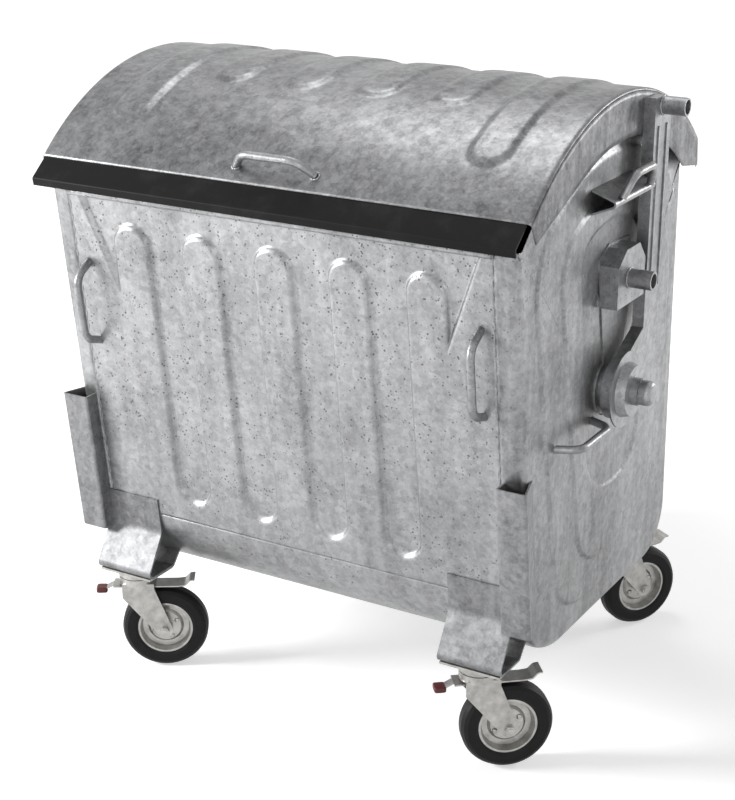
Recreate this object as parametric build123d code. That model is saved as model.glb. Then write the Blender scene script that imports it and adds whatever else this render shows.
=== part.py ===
from build123d import *
from math import cos, radians, sin, sqrt, tan
import os

# A galvanised steel waste container on four swivel casters, with a sliding dome lid.
# X is to the right seen from the front, Y to the rear and Z up, in millimetres.
# The origin is on the floor, under the middle of the container's overall size.

# Sheet, plate and running clearances
SHEET = 2.0
PLATE = 5.0
BODY_GAP = 0.3
BORE_CLEARANCE = 0.05

# Tub
TUB_WIDTH = 1100.0
SIDE_FLANGE = 50.0
RIM_Z = 1165.0
FRONT_RIM_Y = -472.0
FRONT_LEAN = 7.3
REAR_RIM_Y = 364.0
REAR_LEAN = 2.0
FLOOR_Z = 239.0
FRONT_BEND = 185.0
REAR_BEND = 120.0
CORNER_RADIUS = 22.0
PAN_OPENING = 12.0

# Axis of the lid, which its dome, arms and pivots share, and the side walls' arch under it
AXIS_Y = -32.0
AXIS_Z = 775.0
LID_RADIUS = 625.0
LID_SIDE_GAP = 24.0
LID_FRONT_ANGLE = 134.0
LID_TAIL_ANGLE = 47.0
LID_LIP_DROP = 66.0
LID_LIP_SPREAD = 3.0
END_PLATE_WIDTH = 95.0
END_PLATE_FRONT_DROP = 41.0
END_PLATE_FRONT_SET = 19.0
END_PLATE_FRONT_ANGLE = 113.0
END_PLATE_TAIL_ANGLE = 50.5
END_PLATE_TAIL_GAP_ANGLE = 0.4
LID_OVER_ARCH = 53.0

# Pressed pattern of the front wall
PITCH = 177.0
RAISED_WIDTH = 85.0
RAISED_TOP_DROP = 72.0
FINGER_BOTTOM_DROP = 722.0
FRONT_PRESS_DEPTH = 8.0
FACET_TOP_HALF = 480.0
FACET_DROP = 222.0
RIM_BEAD_HEIGHT = 14.0
RIM_BEAD_DEPTH = 7.0

# Pressed levels of the side walls
SIDE_STEP = 4.0
OUTER_LEVEL_DROP = 69.0
OUTER_LEVEL_LOW = (-222.0, 292.0)
OUTER_LEVEL_LEAN = 12.0
OUTER_LEVEL_REAR = 40.0
MIDDLE_LEVEL_DROP = 152.0
MIDDLE_LEVEL_LOW = (-126.0, 374.0)
MIDDLE_LEVEL_LEAN = 12.6
MIDDLE_LEVEL_REAR = 80.0
LEVEL_TOP_BEND = 60.0
LEVEL_LOW_BEND = 105.0
LEVEL_REAR_BEND = 75.0
RECESS_HEIGHT = 361.0
RECESS_SHOULDER = 320.0
RECESS_FOOT = 235.0
RECESS_FRONT_TOP = 158.0
RECESS_FRONT_FOOT = 75.0
RECESS_REAR = 187.0
RECESS_BEND = 110.0
SIDE_SEAM_Y = 65.0

# Pressed fields of the roof
ROOF_PRESS_DEPTH = 6.0
ROOF_FIELD_WIDTH = 92.0
LONG_FIELD_X = 426.0
LONG_FIELD_FRONT_ANGLE = 123.0
SHORT_FIELD_FRONT_ANGLE = 107.0
FIELD_REAR_ANGLE = 62.0

# Front strip of the lid
STRIP_END_GAP = 8.0
STRIP_THICKNESS = 4.0
STRIP_REACH = 46.0
STRIP_FALL = 38.0
STRIP_LIP = 16.0
STRIP_ROOF_ANGLE = 2.5
STRIP_NOSE_LEAN = 3.0
STRIP_NOSE_BEND = 5.0

# Round-bar handles, all of one pattern
HANDLE_BAR = 17.0
HANDLE_SPAN = 187.0
HANDLE_REACH = 50.0
HANDLE_TAPER = 22.0
HANDLE_BEND = 36.0
LID_HANDLE_REACH = 40.0
LID_HANDLE_TAPER = 31.0
FRONT_HANDLE_INSET = 28.0
FRONT_HANDLE_Z = 910.0
SIDE_HANDLE_Y = -183.0
SIDE_HANDLE_Z = 714.0
LID_HANDLE_ANGLE = 130.3
STOP_HANDLE_SPAN = 147.0

# Corner sockets
SOCKET_TOP_Z = 680.0
SOCKET_BOTTOM_Z = 343.0
SOCKET_SEAM_GAP = 8.0
SOCKET_FLARE = 26.0
SOCKET_REACH = 38.0
SOCKET_BACK = 47.0
SOCKET_THICKNESS = 4.0
SOCKET_BEND = 6.0

# Lid stops, folded wedges on the side walls
STOP_FRONT_Y = -153.0
STOP_LENGTH = 204.0
STOP_TOP_Z = 1222.0
STOP_HEIGHT = 53.0
STOP_NOSE_DROP = 24.0
STOP_REACH = 70.0
STOP_THICKNESS = 4.0
STOP_NOSE_RADIUS = 9.0
STOP_HANDLE_SHIFT = 4.0

# Trunnions and their brackets
TRUNNION_RADIUS = 20.0
TRUNNION_WALL = 5.0
TRUNNION_LENGTH = 52.0
TRUNNION_Z = 1018.0
BRACKET_DEPTH = 46.0
BRACKET_FRONT_Y = -93.0
BRACKET_REAR_Y = 48.0
BRACKET_BOTTOM_Z = 963.0
BRACKET_TOP_Z = 1082.0
BACK_PLATE_THICKNESS = 6.0
BACK_PLATE_FOOT_RADIUS = 60.0
BACK_PLATE_MARGIN = 8.0
BRACKET_FRONT_CHAMFER = 40.0
BRACKET_REAR_CHAMFER = 34.0
BRACKET_FRONT_SHOULDER = 34.0
BRACKET_REAR_SHOULDER = 26.0

# Lid pivot
PIVOT_RADIUS = 15.0
PIVOT_FLANGE_RADIUS = 46.0
PIVOT_FLANGE_THICKNESS = 6.0
HUB_RADIUS = 82.0
HUB_STEP_RADIUS = 56.0
HUB_BOSS_RADIUS = 30.0
HUB_DISH_DEPTH = 24.0
HUB_NOSE = 16.0
CAP_RADIUS = 27.0
CAP_HEIGHT = 26.0

# Lid arms and lid pins
ARM_DEPTH = 26.0
ARM_THICKNESS = 4.0
ARM_FRONT_Y = 59.0
ARM_WIDTH = 88.0
ARM_TOP_Z = 1372.0
ARM_BEND_Z = 945.0
ARM_FOOT_RADIUS = 66.0
ARM_TIP_DROP = 12.0
ARM_FRONT_KNEE = 60.0
ARM_REAR_KNEE = 25.0
BEAD_START = 20.0
BEAD_END_MARGIN = 60.0
BEAD_WIDTH = 8.0
BEAD_HEIGHT = 3.0
LID_PIN_RADIUS = 19.0
LID_PIN_WALL = 4.0
LID_PIN_LENGTH = 52.0
LID_PIN_Z = 1352.0

# Caster brackets
BRACKET_WIDTH = 148.0
MOUNT_Z = 250.0
BRACKET_TOP_EDGE_Z = 437.0
BRACKET_FOLD_Z = 351.0
BRACKET_NOSE_BEND = 14.0
BRACKET_OVERHANG = 15.0
BRACKET_LEG_RUN = 26.0
BRACKET_LEG_RISE = 30.0

# Swivel casters
SWIVEL_INSET = 104.0
FRONT_SWIVEL_Y = -375.0
REAR_SWIVEL_Y = 369.0
TRAIL = 62.0
HEADINGS = {"front_left": 32.0, "front_right": 40.0, "rear_left": 45.0, "rear_right": 56.0}
WHEEL_RADIUS = 100.0
TYRE_WIDTH = 50.0
RIM_RADIUS = 64.0
RIM_HALF_WIDTH = 21.0
RIM_WALL = 5.0
DISC_HALF = 4.0
DISH_RADIUS = 36.0
NAVE_RADIUS = 15.0
TYRE_SHOULDER = 5.0
AXLE_RADIUS = 6.0
TOP_PLATE_LENGTH = 140.0
TOP_PLATE_WIDTH = 88.0
TOP_PLATE_THICKNESS = 5.0
RACEWAY_RADIUS = 43.0
RACEWAY_HEIGHT = 13.0
KINGPIN_RADIUS = 9.0
CROWN_RADIUS = 42.0
CROWN_BOTTOM_Z = 215.0
LEG_THICKNESS = 5.0
WHEEL_SIDE_GAP = 5.0
LEG_TIP_RADIUS = 19.0
LEG_TOP_WIDTH = 74.0
LEG_TOP_SHIFT = 4.0
LEG_FRONT_DROP = 30.0
LEG_REAR_DROP = 8.0
AXLE_HEAD_RADIUS = 10.5
AXLE_HEAD_HEIGHT = 8.0
AXLE_END = 10.0
BRAKE_PIVOT_X = -8.0
BRAKE_PIVOT_Z = 209.0
BRAKE_STRIP = 3.0
BRAKE_PIN_RADIUS = 3.0
BRAKE_WIDTH = 44.0
BRAKE_STRIP_FRONT = 55.0
BRAKE_STRIP_REAR = 95.0
PEDAL_LENGTH = 39.0
PEDAL_RISE = 14.0
LEVER_LENGTH = 35.0
LEVER_DROP = 14.0
DRAIN_RADIUS = 28.0
DRAIN_FLANGE = 8.0

# Faces that several pieces share
SEAM_SPAN = TUB_WIDTH - 2 * SIDE_FLANGE
LID_WIDTH = TUB_WIDTH + 2 * LID_SIDE_GAP
STRIP_WIDTH = LID_WIDTH - 2 * STRIP_END_GAP
ARCH_RADIUS = LID_RADIUS - LID_OVER_ARCH
END_PLATE_INNER_RADIUS = LID_RADIUS - SHEET - END_PLATE_WIDTH
SIDE_FACE_X = TUB_WIDTH / 2
SOCKET_INNER_X = SEAM_SPAN / 2 + SOCKET_SEAM_GAP
SOCKET_OUTER_X = SIDE_FACE_X + SOCKET_FLARE
FRONT_HANDLE_X = SEAM_SPAN / 2 - FRONT_HANDLE_INSET
SWIVEL_X = SIDE_FACE_X - SWIVEL_INSET
SIDE_OUTER_X = SIDE_FACE_X + 2 * SIDE_STEP
SIDE_RECESS_X = SIDE_FACE_X + SIDE_STEP
END_PLATE_X = LID_WIDTH / 2
ARM_FACE_X = END_PLATE_X + ARM_DEPTH
BACK_PLATE_X = SIDE_RECESS_X + BACK_PLATE_THICKNESS
BRACKET_FACE_X = SIDE_RECESS_X + BRACKET_DEPTH
ARM_TIP_RADIUS = LID_RADIUS - ARM_TIP_DROP


def front_y(z):
    """Y of the front wall's outer face at a height."""
    return FRONT_RIM_Y + (RIM_Z - z) * tan(radians(FRONT_LEAN))


def rear_rim_z():
    """Height at which the rear wall meets the side walls' arch."""
    return AXIS_Z + sqrt(ARCH_RADIUS**2 - (REAR_RIM_Y - AXIS_Y) ** 2)


def rear_y(z):
    """Y of the rear wall's outer face at a height."""
    return REAR_RIM_Y + (rear_rim_z() - z) * tan(radians(REAR_LEAN))


def dome_point(radius, angle):
    """Point in the YZ plane at an angle from the rear, about the dome's centre."""
    return (AXIS_Y + radius * cos(radians(angle)), AXIS_Z + radius * sin(radians(angle)))


def from_side(sketch, x):
    """A sketch of Y and Z laid in the plane at one X, facing +X."""
    return Plane(origin=(x, 0, 0), x_dir=(0, 1, 0), z_dir=(1, 0, 0)) * sketch


def polygon(*points):
    """Face through a few corners."""
    return make_face(Polyline(*points, close=True))


def bent_sheet(points, radii, thickness):
    """Section of a folded sheet, which lies to the left of the line through the points."""
    line = FilletPolyline(*points, radius=radii)
    return make_face(line.wire().offset_2d(thickness, kind=Kind.INTERSECTION, side=Side.LEFT))


def mirrored(piece):
    """The same piece on the container's left side."""
    return mirror(piece, about=Plane.YZ)


def tube_along_x(radius, wall, x_from, length, y, z):
    """Open tube with its axis along X."""
    ring = Pos(y, z) * (Circle(radius) - Circle(radius - wall))
    return extrude(from_side(ring, x_from), length)


def front_plane():
    """Plane on the front wall's outer face, with its origin at the middle of the rim."""
    lean = radians(FRONT_LEAN)
    return Plane(origin=(0, FRONT_RIM_Y, RIM_Z), x_dir=(1, 0, 0), z_dir=(0, -cos(lean), -sin(lean)))


def wall_length():
    """Length of the flat front wall, from the rim down to the bend under it."""
    lean = radians(FRONT_LEAN)
    bend_centre_z = FLOOR_Z + FRONT_BEND
    return (RIM_Z - bend_centre_z + FRONT_BEND * sin(lean)) / cos(lean)


def finger_width():
    """Width of the recessed fingers between the raised fields."""
    return PITCH - RAISED_WIDTH


def round_slot(width, top, bottom):
    """Upright slot with round ends, between two heights of a sketch."""
    return Pos(0, (top + bottom) / 2) * Rot(0, 0, 90) * SlotOverall(top - bottom, width)


def pressed_area(grow=0.0):
    """Recessed area of the front wall: a top panel with four fingers round five raised fields."""
    top_half = FACET_TOP_HALF + grow
    low_half = 2 * PITCH + RAISED_WIDTH / 2 + grow
    panel = polygon((-top_half, 0), (top_half, 0), (low_half, -FACET_DROP), (-low_half, -FACET_DROP))
    for column in (-1.5, -0.5, 0.5, 1.5):
        panel += Pos(column * PITCH) * round_slot(
            finger_width() + 2 * grow, -RAISED_TOP_DROP, -FINGER_BOTTOM_DROP - grow
        )
    for column in (-2, -1, 0, 1, 2):
        panel -= Pos(column * PITCH) * round_slot(
            RAISED_WIDTH - 2 * grow, -RAISED_TOP_DROP - grow, -FINGER_BOTTOM_DROP
        )
    return panel


def make_front_wall():
    """Leaning front sheet with its pressed pattern and the folded bead along the rim."""
    length = wall_length()
    sheet = Pos(0, -length / 2, -SHEET / 2) * Box(SEAM_SPAN, length, SHEET)
    backing = Pos(0, 0, -SHEET) * extrude(pressed_area(SHEET), -FRONT_PRESS_DEPTH)
    recess = extrude(pressed_area(), -FRONT_PRESS_DEPTH)
    bead_section = Pos(0, -RIM_BEAD_HEIGHT / 2) * SlotOverall(
        2 * RIM_BEAD_DEPTH + RIM_BEAD_HEIGHT / 2, RIM_BEAD_HEIGHT
    )
    bead_plane = Plane(origin=(-SEAM_SPAN / 2, 0, 0), x_dir=(0, 0, 1), z_dir=(1, 0, 0))
    bead = extrude(bead_plane * (Rot(0, 0, 180) * bead_section), SEAM_SPAN)
    wall = sheet + backing - recess
    top_rail = Pos(0, -RIM_BEAD_HEIGHT / 2, -FRONT_PRESS_DEPTH / 2) * Box(
        SEAM_SPAN, RIM_BEAD_HEIGHT, FRONT_PRESS_DEPTH
    )
    return front_plane() * (wall + bead + top_rail)


def floor_corner_front():
    """Sharp corner where the front wall's face would meet the floor's face."""
    return (front_y(FLOOR_Z), FLOOR_Z)


def floor_corner_rear():
    """Sharp corner where the rear wall's face would meet the floor's face."""
    return (rear_y(FLOOR_Z), FLOOR_Z)


def front_bend_start():
    """Point where the front wall ends and the bend under it begins."""
    drop = wall_length() * cos(radians(FRONT_LEAN))
    return (front_y(RIM_Z - drop), RIM_Z - drop)


def rear_bend_start():
    """Point where the rear wall ends and the bend under it begins."""
    z = FLOOR_Z + REAR_BEND + REAR_BEND * sin(radians(REAR_LEAN))
    return (rear_y(z), z)


def make_floor_pan():
    """Bottom sheet, bent up at the front and rear, with a drain hole."""
    points = [front_bend_start(), floor_corner_front(), floor_corner_rear(), rear_bend_start()]
    section = bent_sheet(points, [FRONT_BEND - 0.5, REAR_BEND - 0.5], SHEET)
    pan = extrude(from_side(section, -SEAM_SPAN / 2), SEAM_SPAN)
    return pan - Pos(0, AXIS_Y, FLOOR_Z) * Cylinder(DRAIN_RADIUS, 6 * SHEET)


def make_drain_plug():
    """Flanged plug in the drain hole."""
    stem = Pos(0, AXIS_Y, FLOOR_Z + SHEET) * Cylinder(
        DRAIN_RADIUS, 4 * SHEET, align=(Align.CENTER, Align.CENTER, Align.MAX)
    )
    flange = Pos(0, AXIS_Y, FLOOR_Z + SHEET) * Cylinder(
        DRAIN_RADIUS + DRAIN_FLANGE, 2 * SHEET, align=(Align.CENTER, Align.CENTER, Align.MIN)
    )
    return stem + flange


def make_rear_wall():
    """Nearly upright rear sheet with five pressed beads."""
    low_y, low_z = rear_bend_start()
    length = (rear_rim_z() - low_z) / cos(radians(REAR_LEAN))
    lean = radians(REAR_LEAN)
    plane = Plane(
        origin=(0, REAR_RIM_Y, rear_rim_z()), x_dir=(-1, 0, 0), z_dir=(0, cos(lean), sin(lean))
    )
    wall = Pos(0, -length / 2, -SHEET / 2) * Box(SEAM_SPAN, length, SHEET)
    for column in (-2, -1, 0, 1, 2):
        field = Pos(column * PITCH) * round_slot(RAISED_WIDTH, -RAISED_TOP_DROP, -FINGER_BOTTOM_DROP)
        inner = Pos(column * PITCH) * round_slot(
            RAISED_WIDTH - 2 * SHEET, -RAISED_TOP_DROP - SHEET, -FINGER_BOTTOM_DROP + SHEET
        )
        wall += extrude(field, FRONT_PRESS_DEPTH - SHEET)
        wall -= Pos(0, 0, -SHEET) * extrude(inner, FRONT_PRESS_DEPTH - SHEET)
    return plane * wall


def side_outline(inset, top_extra=0.0):
    """Outline of a side wall in Y and Z, set in by a sheet thickness where asked."""
    lean_front = inset / cos(radians(FRONT_LEAN))
    lean_rear = inset / cos(radians(REAR_LEAN))
    arch = ARCH_RADIUS + top_extra
    top_z = RIM_Z + top_extra
    floor = FLOOR_Z + inset
    front_arch_y = AXIS_Y - sqrt(arch**2 - (top_z - AXIS_Z) ** 2)
    rear_top_z = AXIS_Z + sqrt(arch**2 - (REAR_RIM_Y - lean_rear - AXIS_Y) ** 2)
    edge = FilletPolyline(
        (front_y(top_z) + lean_front, top_z),
        (front_y(floor) + lean_front, floor),
        (rear_y(floor) - lean_rear, floor),
        (REAR_RIM_Y - lean_rear, rear_top_z),
        radius=[FRONT_BEND - inset, REAR_BEND - inset],
    )
    crown = ThreePointArc(
        (REAR_RIM_Y - lean_rear, rear_top_z), (AXIS_Y, AXIS_Z + arch), (front_arch_y, top_z)
    )
    ledge = Line((front_arch_y, top_z), (front_y(top_z) + lean_front, top_z))
    return make_face([*edge.edges(), crown, ledge])


def is_low_edge(edge):
    """True for an outline edge that isn't on the arch or the short ledge beside it."""
    middle = edge.position_at(0.5)
    reach = sqrt((middle.Y - AXIS_Y) ** 2 + (middle.Z - AXIS_Z) ** 2)
    return reach < ARCH_RADIUS - 3 or middle.Z < RIM_Z - 3


def pan_body(inset, x_outer, top_extra=0.0):
    """Deep-drawn pan of one side wall, with its rounded outer edge."""
    depth = x_outer - SEAM_SPAN / 2
    body = extrude(from_side(side_outline(inset, top_extra), SEAM_SPAN / 2), depth)
    outer = body.faces().sort_by(Axis.X)[-1]
    edges = outer.edges().filter_by(is_low_edge)
    return fillet(edges, CORNER_RADIUS - inset)


def meets_arch(low, lean, radius):
    """Point where a line rising from a low point, leaning forward, meets an arch."""
    run, rise = -sin(radians(lean)), cos(radians(lean))
    along = (low[0] - AXIS_Y) * run + (low[1] - AXIS_Z) * rise
    away = (low[0] - AXIS_Y) ** 2 + (low[1] - AXIS_Z) ** 2 - radius**2
    reach = -along + sqrt(along**2 - away)
    return (low[0] + reach * run, low[1] + reach * rise)


def level_outline(drop, low, lean, rear_margin):
    """Pressed level of a side wall: concentric on top, leaning in front, plain behind the seam."""
    radius = ARCH_RADIUS - drop
    rear = rear_y(AXIS_Z) - rear_margin
    rear_low = low[1] - 2 * SIDE_STEP
    arch_front = meets_arch(low, lean, radius)
    arch_rear = (rear, AXIS_Z + sqrt(radius**2 - (rear - AXIS_Y) ** 2))
    edge = FilletPolyline(
        arch_front,
        low,
        (SIDE_SEAM_Y, low[1]),
        (SIDE_SEAM_Y, rear_low),
        (rear, rear_low),
        arch_rear,
        radius=[LEVEL_LOW_BEND, SHEET, SHEET, LEVEL_REAR_BEND],
    )
    crown = ThreePointArc(arch_rear, (AXIS_Y, AXIS_Z + radius), arch_front)
    face = make_face([*edge.edges(), crown])
    return fillet(face.vertices().sort_by_distance(arch_front)[0], LEVEL_TOP_BEND)


def pivot_recess():
    """Inner level round the pivot and the trunnion bracket."""
    shoulder = AXIS_Z + RECESS_SHOULDER
    foot = AXIS_Z - RECESS_FOOT
    front = (AXIS_Y - RECESS_FRONT_TOP, shoulder)
    rear = (AXIS_Y + RECESS_REAR, shoulder)
    body = FilletPolyline(
        front, (AXIS_Y - RECESS_FRONT_FOOT, foot), (rear[0], foot), rear, radius=RECESS_BEND
    )
    crown = ThreePointArc(rear, (AXIS_Y, AXIS_Z + RECESS_HEIGHT), front)
    return make_face([*body.edges(), crown])


def make_side_wall():
    """Right side wall: a drawn pan with two raised levels and a recess round the pivot."""
    wall = pan_body(0, SIDE_FACE_X) - pan_body(SHEET, SIDE_FACE_X - SHEET, PAN_OPENING)
    outer_level = level_outline(
        OUTER_LEVEL_DROP, OUTER_LEVEL_LOW, OUTER_LEVEL_LEAN, OUTER_LEVEL_REAR
    )
    middle_level = level_outline(
        MIDDLE_LEVEL_DROP, MIDDLE_LEVEL_LOW, MIDDLE_LEVEL_LEAN, MIDDLE_LEVEL_REAR
    )
    recess = pivot_recess()
    for level, sketch in enumerate((outer_level, middle_level)):
        face_x = SIDE_FACE_X + level * SIDE_STEP
        wall += extrude(from_side(sketch, face_x), SIDE_STEP)
        wall -= extrude(from_side(offset(sketch, -SHEET), face_x - SHEET), SIDE_STEP)
    wall += extrude(from_side(offset(recess, SHEET), SIDE_RECESS_X - SHEET), SIDE_STEP)
    wall -= extrude(from_side(recess, SIDE_RECESS_X), SIDE_STEP)
    return wall


def make_corner_socket():
    """Right corner socket: an upright channel, open at the top, welded round the front corner."""
    wall_y = front_y(SOCKET_TOP_Z)
    section = bent_sheet(
        [
            (SIDE_FACE_X, wall_y + SOCKET_BACK),
            (SOCKET_OUTER_X, wall_y - SOCKET_REACH),
            (SOCKET_INNER_X, wall_y - SOCKET_REACH),
            (SOCKET_INNER_X, wall_y),
        ],
        [SOCKET_BEND, SOCKET_BEND],
        SOCKET_THICKNESS,
    )
    height = SOCKET_TOP_Z - SOCKET_BOTTOM_Z
    slope = (0, tan(radians(FRONT_LEAN)), -1)
    channel = extrude(
        Pos(0, 0, SOCKET_TOP_Z) * section, height / cos(radians(FRONT_LEAN)), dir=slope
    )
    channel -= tub_envelope()
    channel -= bracket_plate(-1, front_y, FRONT_SWIVEL_Y)
    return channel.solids().sort_by(SortBy.VOLUME)[-1]


def round_bar_handle(span, reach, taper):
    """Bent round bar: feet on the XY plane along X, rising along Z."""
    path = FilletPolyline(
        (-span / 2, 0, 0),
        (-span / 2 + taper, 0, reach),
        (span / 2 - taper, 0, reach),
        (span / 2, 0, 0),
        radius=HANDLE_BEND,
    )
    start = Plane(origin=path @ 0, z_dir=path % 0)
    bar = sweep(start * Circle(HANDLE_BAR / 2), path=path.wire())
    slab = Box(
        2 * span, 4 * HANDLE_BAR, reach + HANDLE_BAR, align=(Align.CENTER, Align.CENTER, Align.MIN)
    )
    return bar & slab


def make_front_handle():
    """Right front handle, upright on the front wall."""
    foot = Plane(
        origin=(FRONT_HANDLE_X, front_y(FRONT_HANDLE_Z), FRONT_HANDLE_Z),
        x_dir=front_plane().y_dir,
        z_dir=front_plane().z_dir,
    )
    return foot * round_bar_handle(HANDLE_SPAN, HANDLE_REACH, HANDLE_TAPER)


def make_side_handle():
    """Right side handle, level on the side wall beside the middle level."""
    foot = Plane(
        origin=(SIDE_RECESS_X, SIDE_HANDLE_Y, SIDE_HANDLE_Z), x_dir=(0, 1, 0), z_dir=(1, 0, 0)
    )
    return foot * round_bar_handle(HANDLE_SPAN, HANDLE_REACH, HANDLE_TAPER)


def make_lid_handle():
    """Handle on the front of the roof."""
    angle = radians(LID_HANDLE_ANGLE)
    y, z = dome_point(LID_RADIUS, LID_HANDLE_ANGLE)
    foot = Plane(origin=(0, y, z), x_dir=(1, 0, 0), z_dir=(0, cos(angle), sin(angle)))
    return foot * round_bar_handle(HANDLE_SPAN, LID_HANDLE_REACH, LID_HANDLE_TAPER)


def stop_nose():
    """Ridge of a lid stop, in X and Z."""
    return (SIDE_OUTER_X + STOP_REACH, STOP_TOP_Z - STOP_NOSE_DROP)


def make_lid_stop():
    """Right lid stop: a sheet folded to a wedge, both edges welded to the side wall."""
    section = bent_sheet(
        [(SIDE_OUTER_X, STOP_TOP_Z - STOP_HEIGHT), stop_nose(), (SIDE_OUTER_X, STOP_TOP_Z)],
        [STOP_NOSE_RADIUS],
        STOP_THICKNESS,
    )
    plane = Plane(origin=(0, STOP_FRONT_Y, 0), x_dir=(1, 0, 0), z_dir=(0, -1, 0))
    wedge = extrude(plane * section, -STOP_LENGTH)
    wall = Pos(SIDE_OUTER_X, STOP_FRONT_Y + STOP_LENGTH / 2, STOP_TOP_Z) * Box(
        2 * STOP_REACH,
        2 * STOP_LENGTH,
        4 * STOP_HEIGHT,
        align=(Align.MAX, Align.CENTER, Align.CENTER),
    )
    return wedge - wall


def make_lid_stop_handle():
    """Handle that stands on the right lid stop."""
    nose_x, nose_z = stop_nose()
    slope = (STOP_TOP_Z - nose_z) / (nose_x - SIDE_OUTER_X)
    foot_x = nose_x - 2 * STOP_NOSE_RADIUS
    foot_z = STOP_TOP_Z - slope * (foot_x - SIDE_OUTER_X)
    foot_y = STOP_FRONT_Y + STOP_LENGTH / 2 + STOP_HANDLE_SHIFT
    foot = Plane(origin=(foot_x, foot_y, foot_z), x_dir=(0, 1, 0), z_dir=(slope, 0, 1))
    return foot * round_bar_handle(STOP_HANDLE_SPAN, HANDLE_REACH, HANDLE_TAPER)


def make_trunnion_plate():
    """Right trunnion bracket: a back plate down to the pivot, and a box folded out of plate."""
    foot_radius = BACK_PLATE_FOOT_RADIUS
    back = polygon(
        (BRACKET_FRONT_Y - BACK_PLATE_MARGIN, BRACKET_TOP_Z - 2 * BACK_PLATE_MARGIN),
        (BRACKET_FRONT_Y + foot_radius, AXIS_Z - foot_radius * 0.75),
        (AXIS_Y - foot_radius * 0.25, AXIS_Z - foot_radius - SHEET),
        (AXIS_Y + foot_radius - 2 * PLATE, AXIS_Z - foot_radius / 2),
        (BRACKET_REAR_Y + foot_radius / 2, BRACKET_BOTTOM_Z),
        (BRACKET_REAR_Y + BACK_PLATE_MARGIN, BRACKET_TOP_Z),
        (BRACKET_FRONT_Y + BRACKET_FRONT_CHAMFER, BRACKET_TOP_Z + BACK_PLATE_MARGIN),
    )
    foot = Pos(AXIS_Y, AXIS_Z) * Circle(foot_radius)
    plate = extrude(from_side(back + foot, SIDE_RECESS_X), BACK_PLATE_THICKNESS)
    face = polygon(
        (BRACKET_FRONT_Y, BRACKET_BOTTOM_Z),
        (BRACKET_REAR_Y, BRACKET_BOTTOM_Z),
        (BRACKET_REAR_Y, TRUNNION_Z + BRACKET_REAR_SHOULDER),
        (BRACKET_REAR_Y - BRACKET_REAR_CHAMFER, BRACKET_TOP_Z),
        (BRACKET_FRONT_Y + BRACKET_FRONT_CHAMFER, BRACKET_TOP_Z),
        (BRACKET_FRONT_Y, TRUNNION_Z + BRACKET_FRONT_SHOULDER),
    )
    depth = BRACKET_FACE_X - BACK_PLATE_X
    box = extrude(from_side(face, BACK_PLATE_X), depth)
    hollow = offset(face, -PLATE) + polygon(
        (BRACKET_FRONT_Y + PLATE, BRACKET_BOTTOM_Z - PLATE),
        (BRACKET_REAR_Y - PLATE, BRACKET_BOTTOM_Z - PLATE),
        (BRACKET_REAR_Y - PLATE, BRACKET_BOTTOM_Z + 2 * PLATE),
        (BRACKET_FRONT_Y + PLATE, BRACKET_BOTTOM_Z + 2 * PLATE),
    )
    box -= extrude(from_side(hollow, BACK_PLATE_X), depth - PLATE)
    return plate + box


def make_trunnion():
    """Right trunnion: a thick tube on the bracket's face."""
    return tube_along_x(
        TRUNNION_RADIUS, TRUNNION_WALL, BRACKET_FACE_X, TRUNNION_LENGTH, AXIS_Y, TRUNNION_Z
    )


def hub_seat_x():
    """X at which the lid hub starts, just off the pivot's flange."""
    return BACK_PLATE_X + PIVOT_FLANGE_THICKNESS + BODY_GAP


def hub_end_x():
    """X at which the lid hub ends, under the cap."""
    return ARM_FACE_X + HUB_DISH_DEPTH + HUB_NOSE


def make_pivot_stub():
    """Right pivot: a flange on the back plate with the shaft that carries the lid."""
    flange = Pos(AXIS_Y, AXIS_Z) * Circle(PIVOT_FLANGE_RADIUS)
    shaft = Pos(AXIS_Y, AXIS_Z) * Circle(PIVOT_RADIUS)
    length = hub_end_x() + CAP_HEIGHT / 2 - BACK_PLATE_X
    stub = extrude(from_side(flange, BACK_PLATE_X), PIVOT_FLANGE_THICKNESS)
    return stub + extrude(from_side(shaft, BACK_PLATE_X), length)


def make_pivot_cap():
    """Domed cap on the end of the right pivot shaft."""
    seat = hub_end_x() + BODY_GAP
    axis_plane = Plane(origin=(seat, AXIS_Y, AXIS_Z), x_dir=(0, 1, 0), z_dir=(1, 0, 0))
    cap = axis_plane * extrude(Circle(CAP_RADIUS), CAP_HEIGHT)
    cap = fillet(cap.edges().sort_by(Axis.X)[-1:], CAP_HEIGHT * 0.45)
    shaft_end = hub_end_x() + CAP_HEIGHT / 2
    return cap - axis_plane * extrude(Circle(PIVOT_RADIUS), shaft_end - seat)


def make_lid_hub():
    """Right lid hub: a boss on the pivot shaft with the stepped, dished disc on the arm."""
    bore = PIVOT_RADIUS + BORE_CLEARANCE
    start = hub_seat_x()
    flat = ARM_FACE_X
    step = flat + HUB_DISH_DEPTH
    end = hub_end_x()
    wall = ARM_THICKNESS
    profile = polygon(
        (bore, start),
        (HUB_BOSS_RADIUS, start),
        (HUB_BOSS_RADIUS, step - wall),
        (HUB_STEP_RADIUS - wall, step - wall),
        (HUB_STEP_RADIUS, flat),
        (HUB_RADIUS, flat),
        (HUB_RADIUS, flat + wall),
        (HUB_STEP_RADIUS + wall, flat + wall),
        (HUB_STEP_RADIUS - 2, step),
        (HUB_BOSS_RADIUS, step),
        (HUB_BOSS_RADIUS, end),
        (bore, end),
    )
    section = Plane(origin=(0, AXIS_Y, AXIS_Z), x_dir=(0, 0, 1), z_dir=(0, -1, 0)) * profile
    return revolve(section, Axis((0, AXIS_Y, AXIS_Z), (1, 0, 0)))


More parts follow.
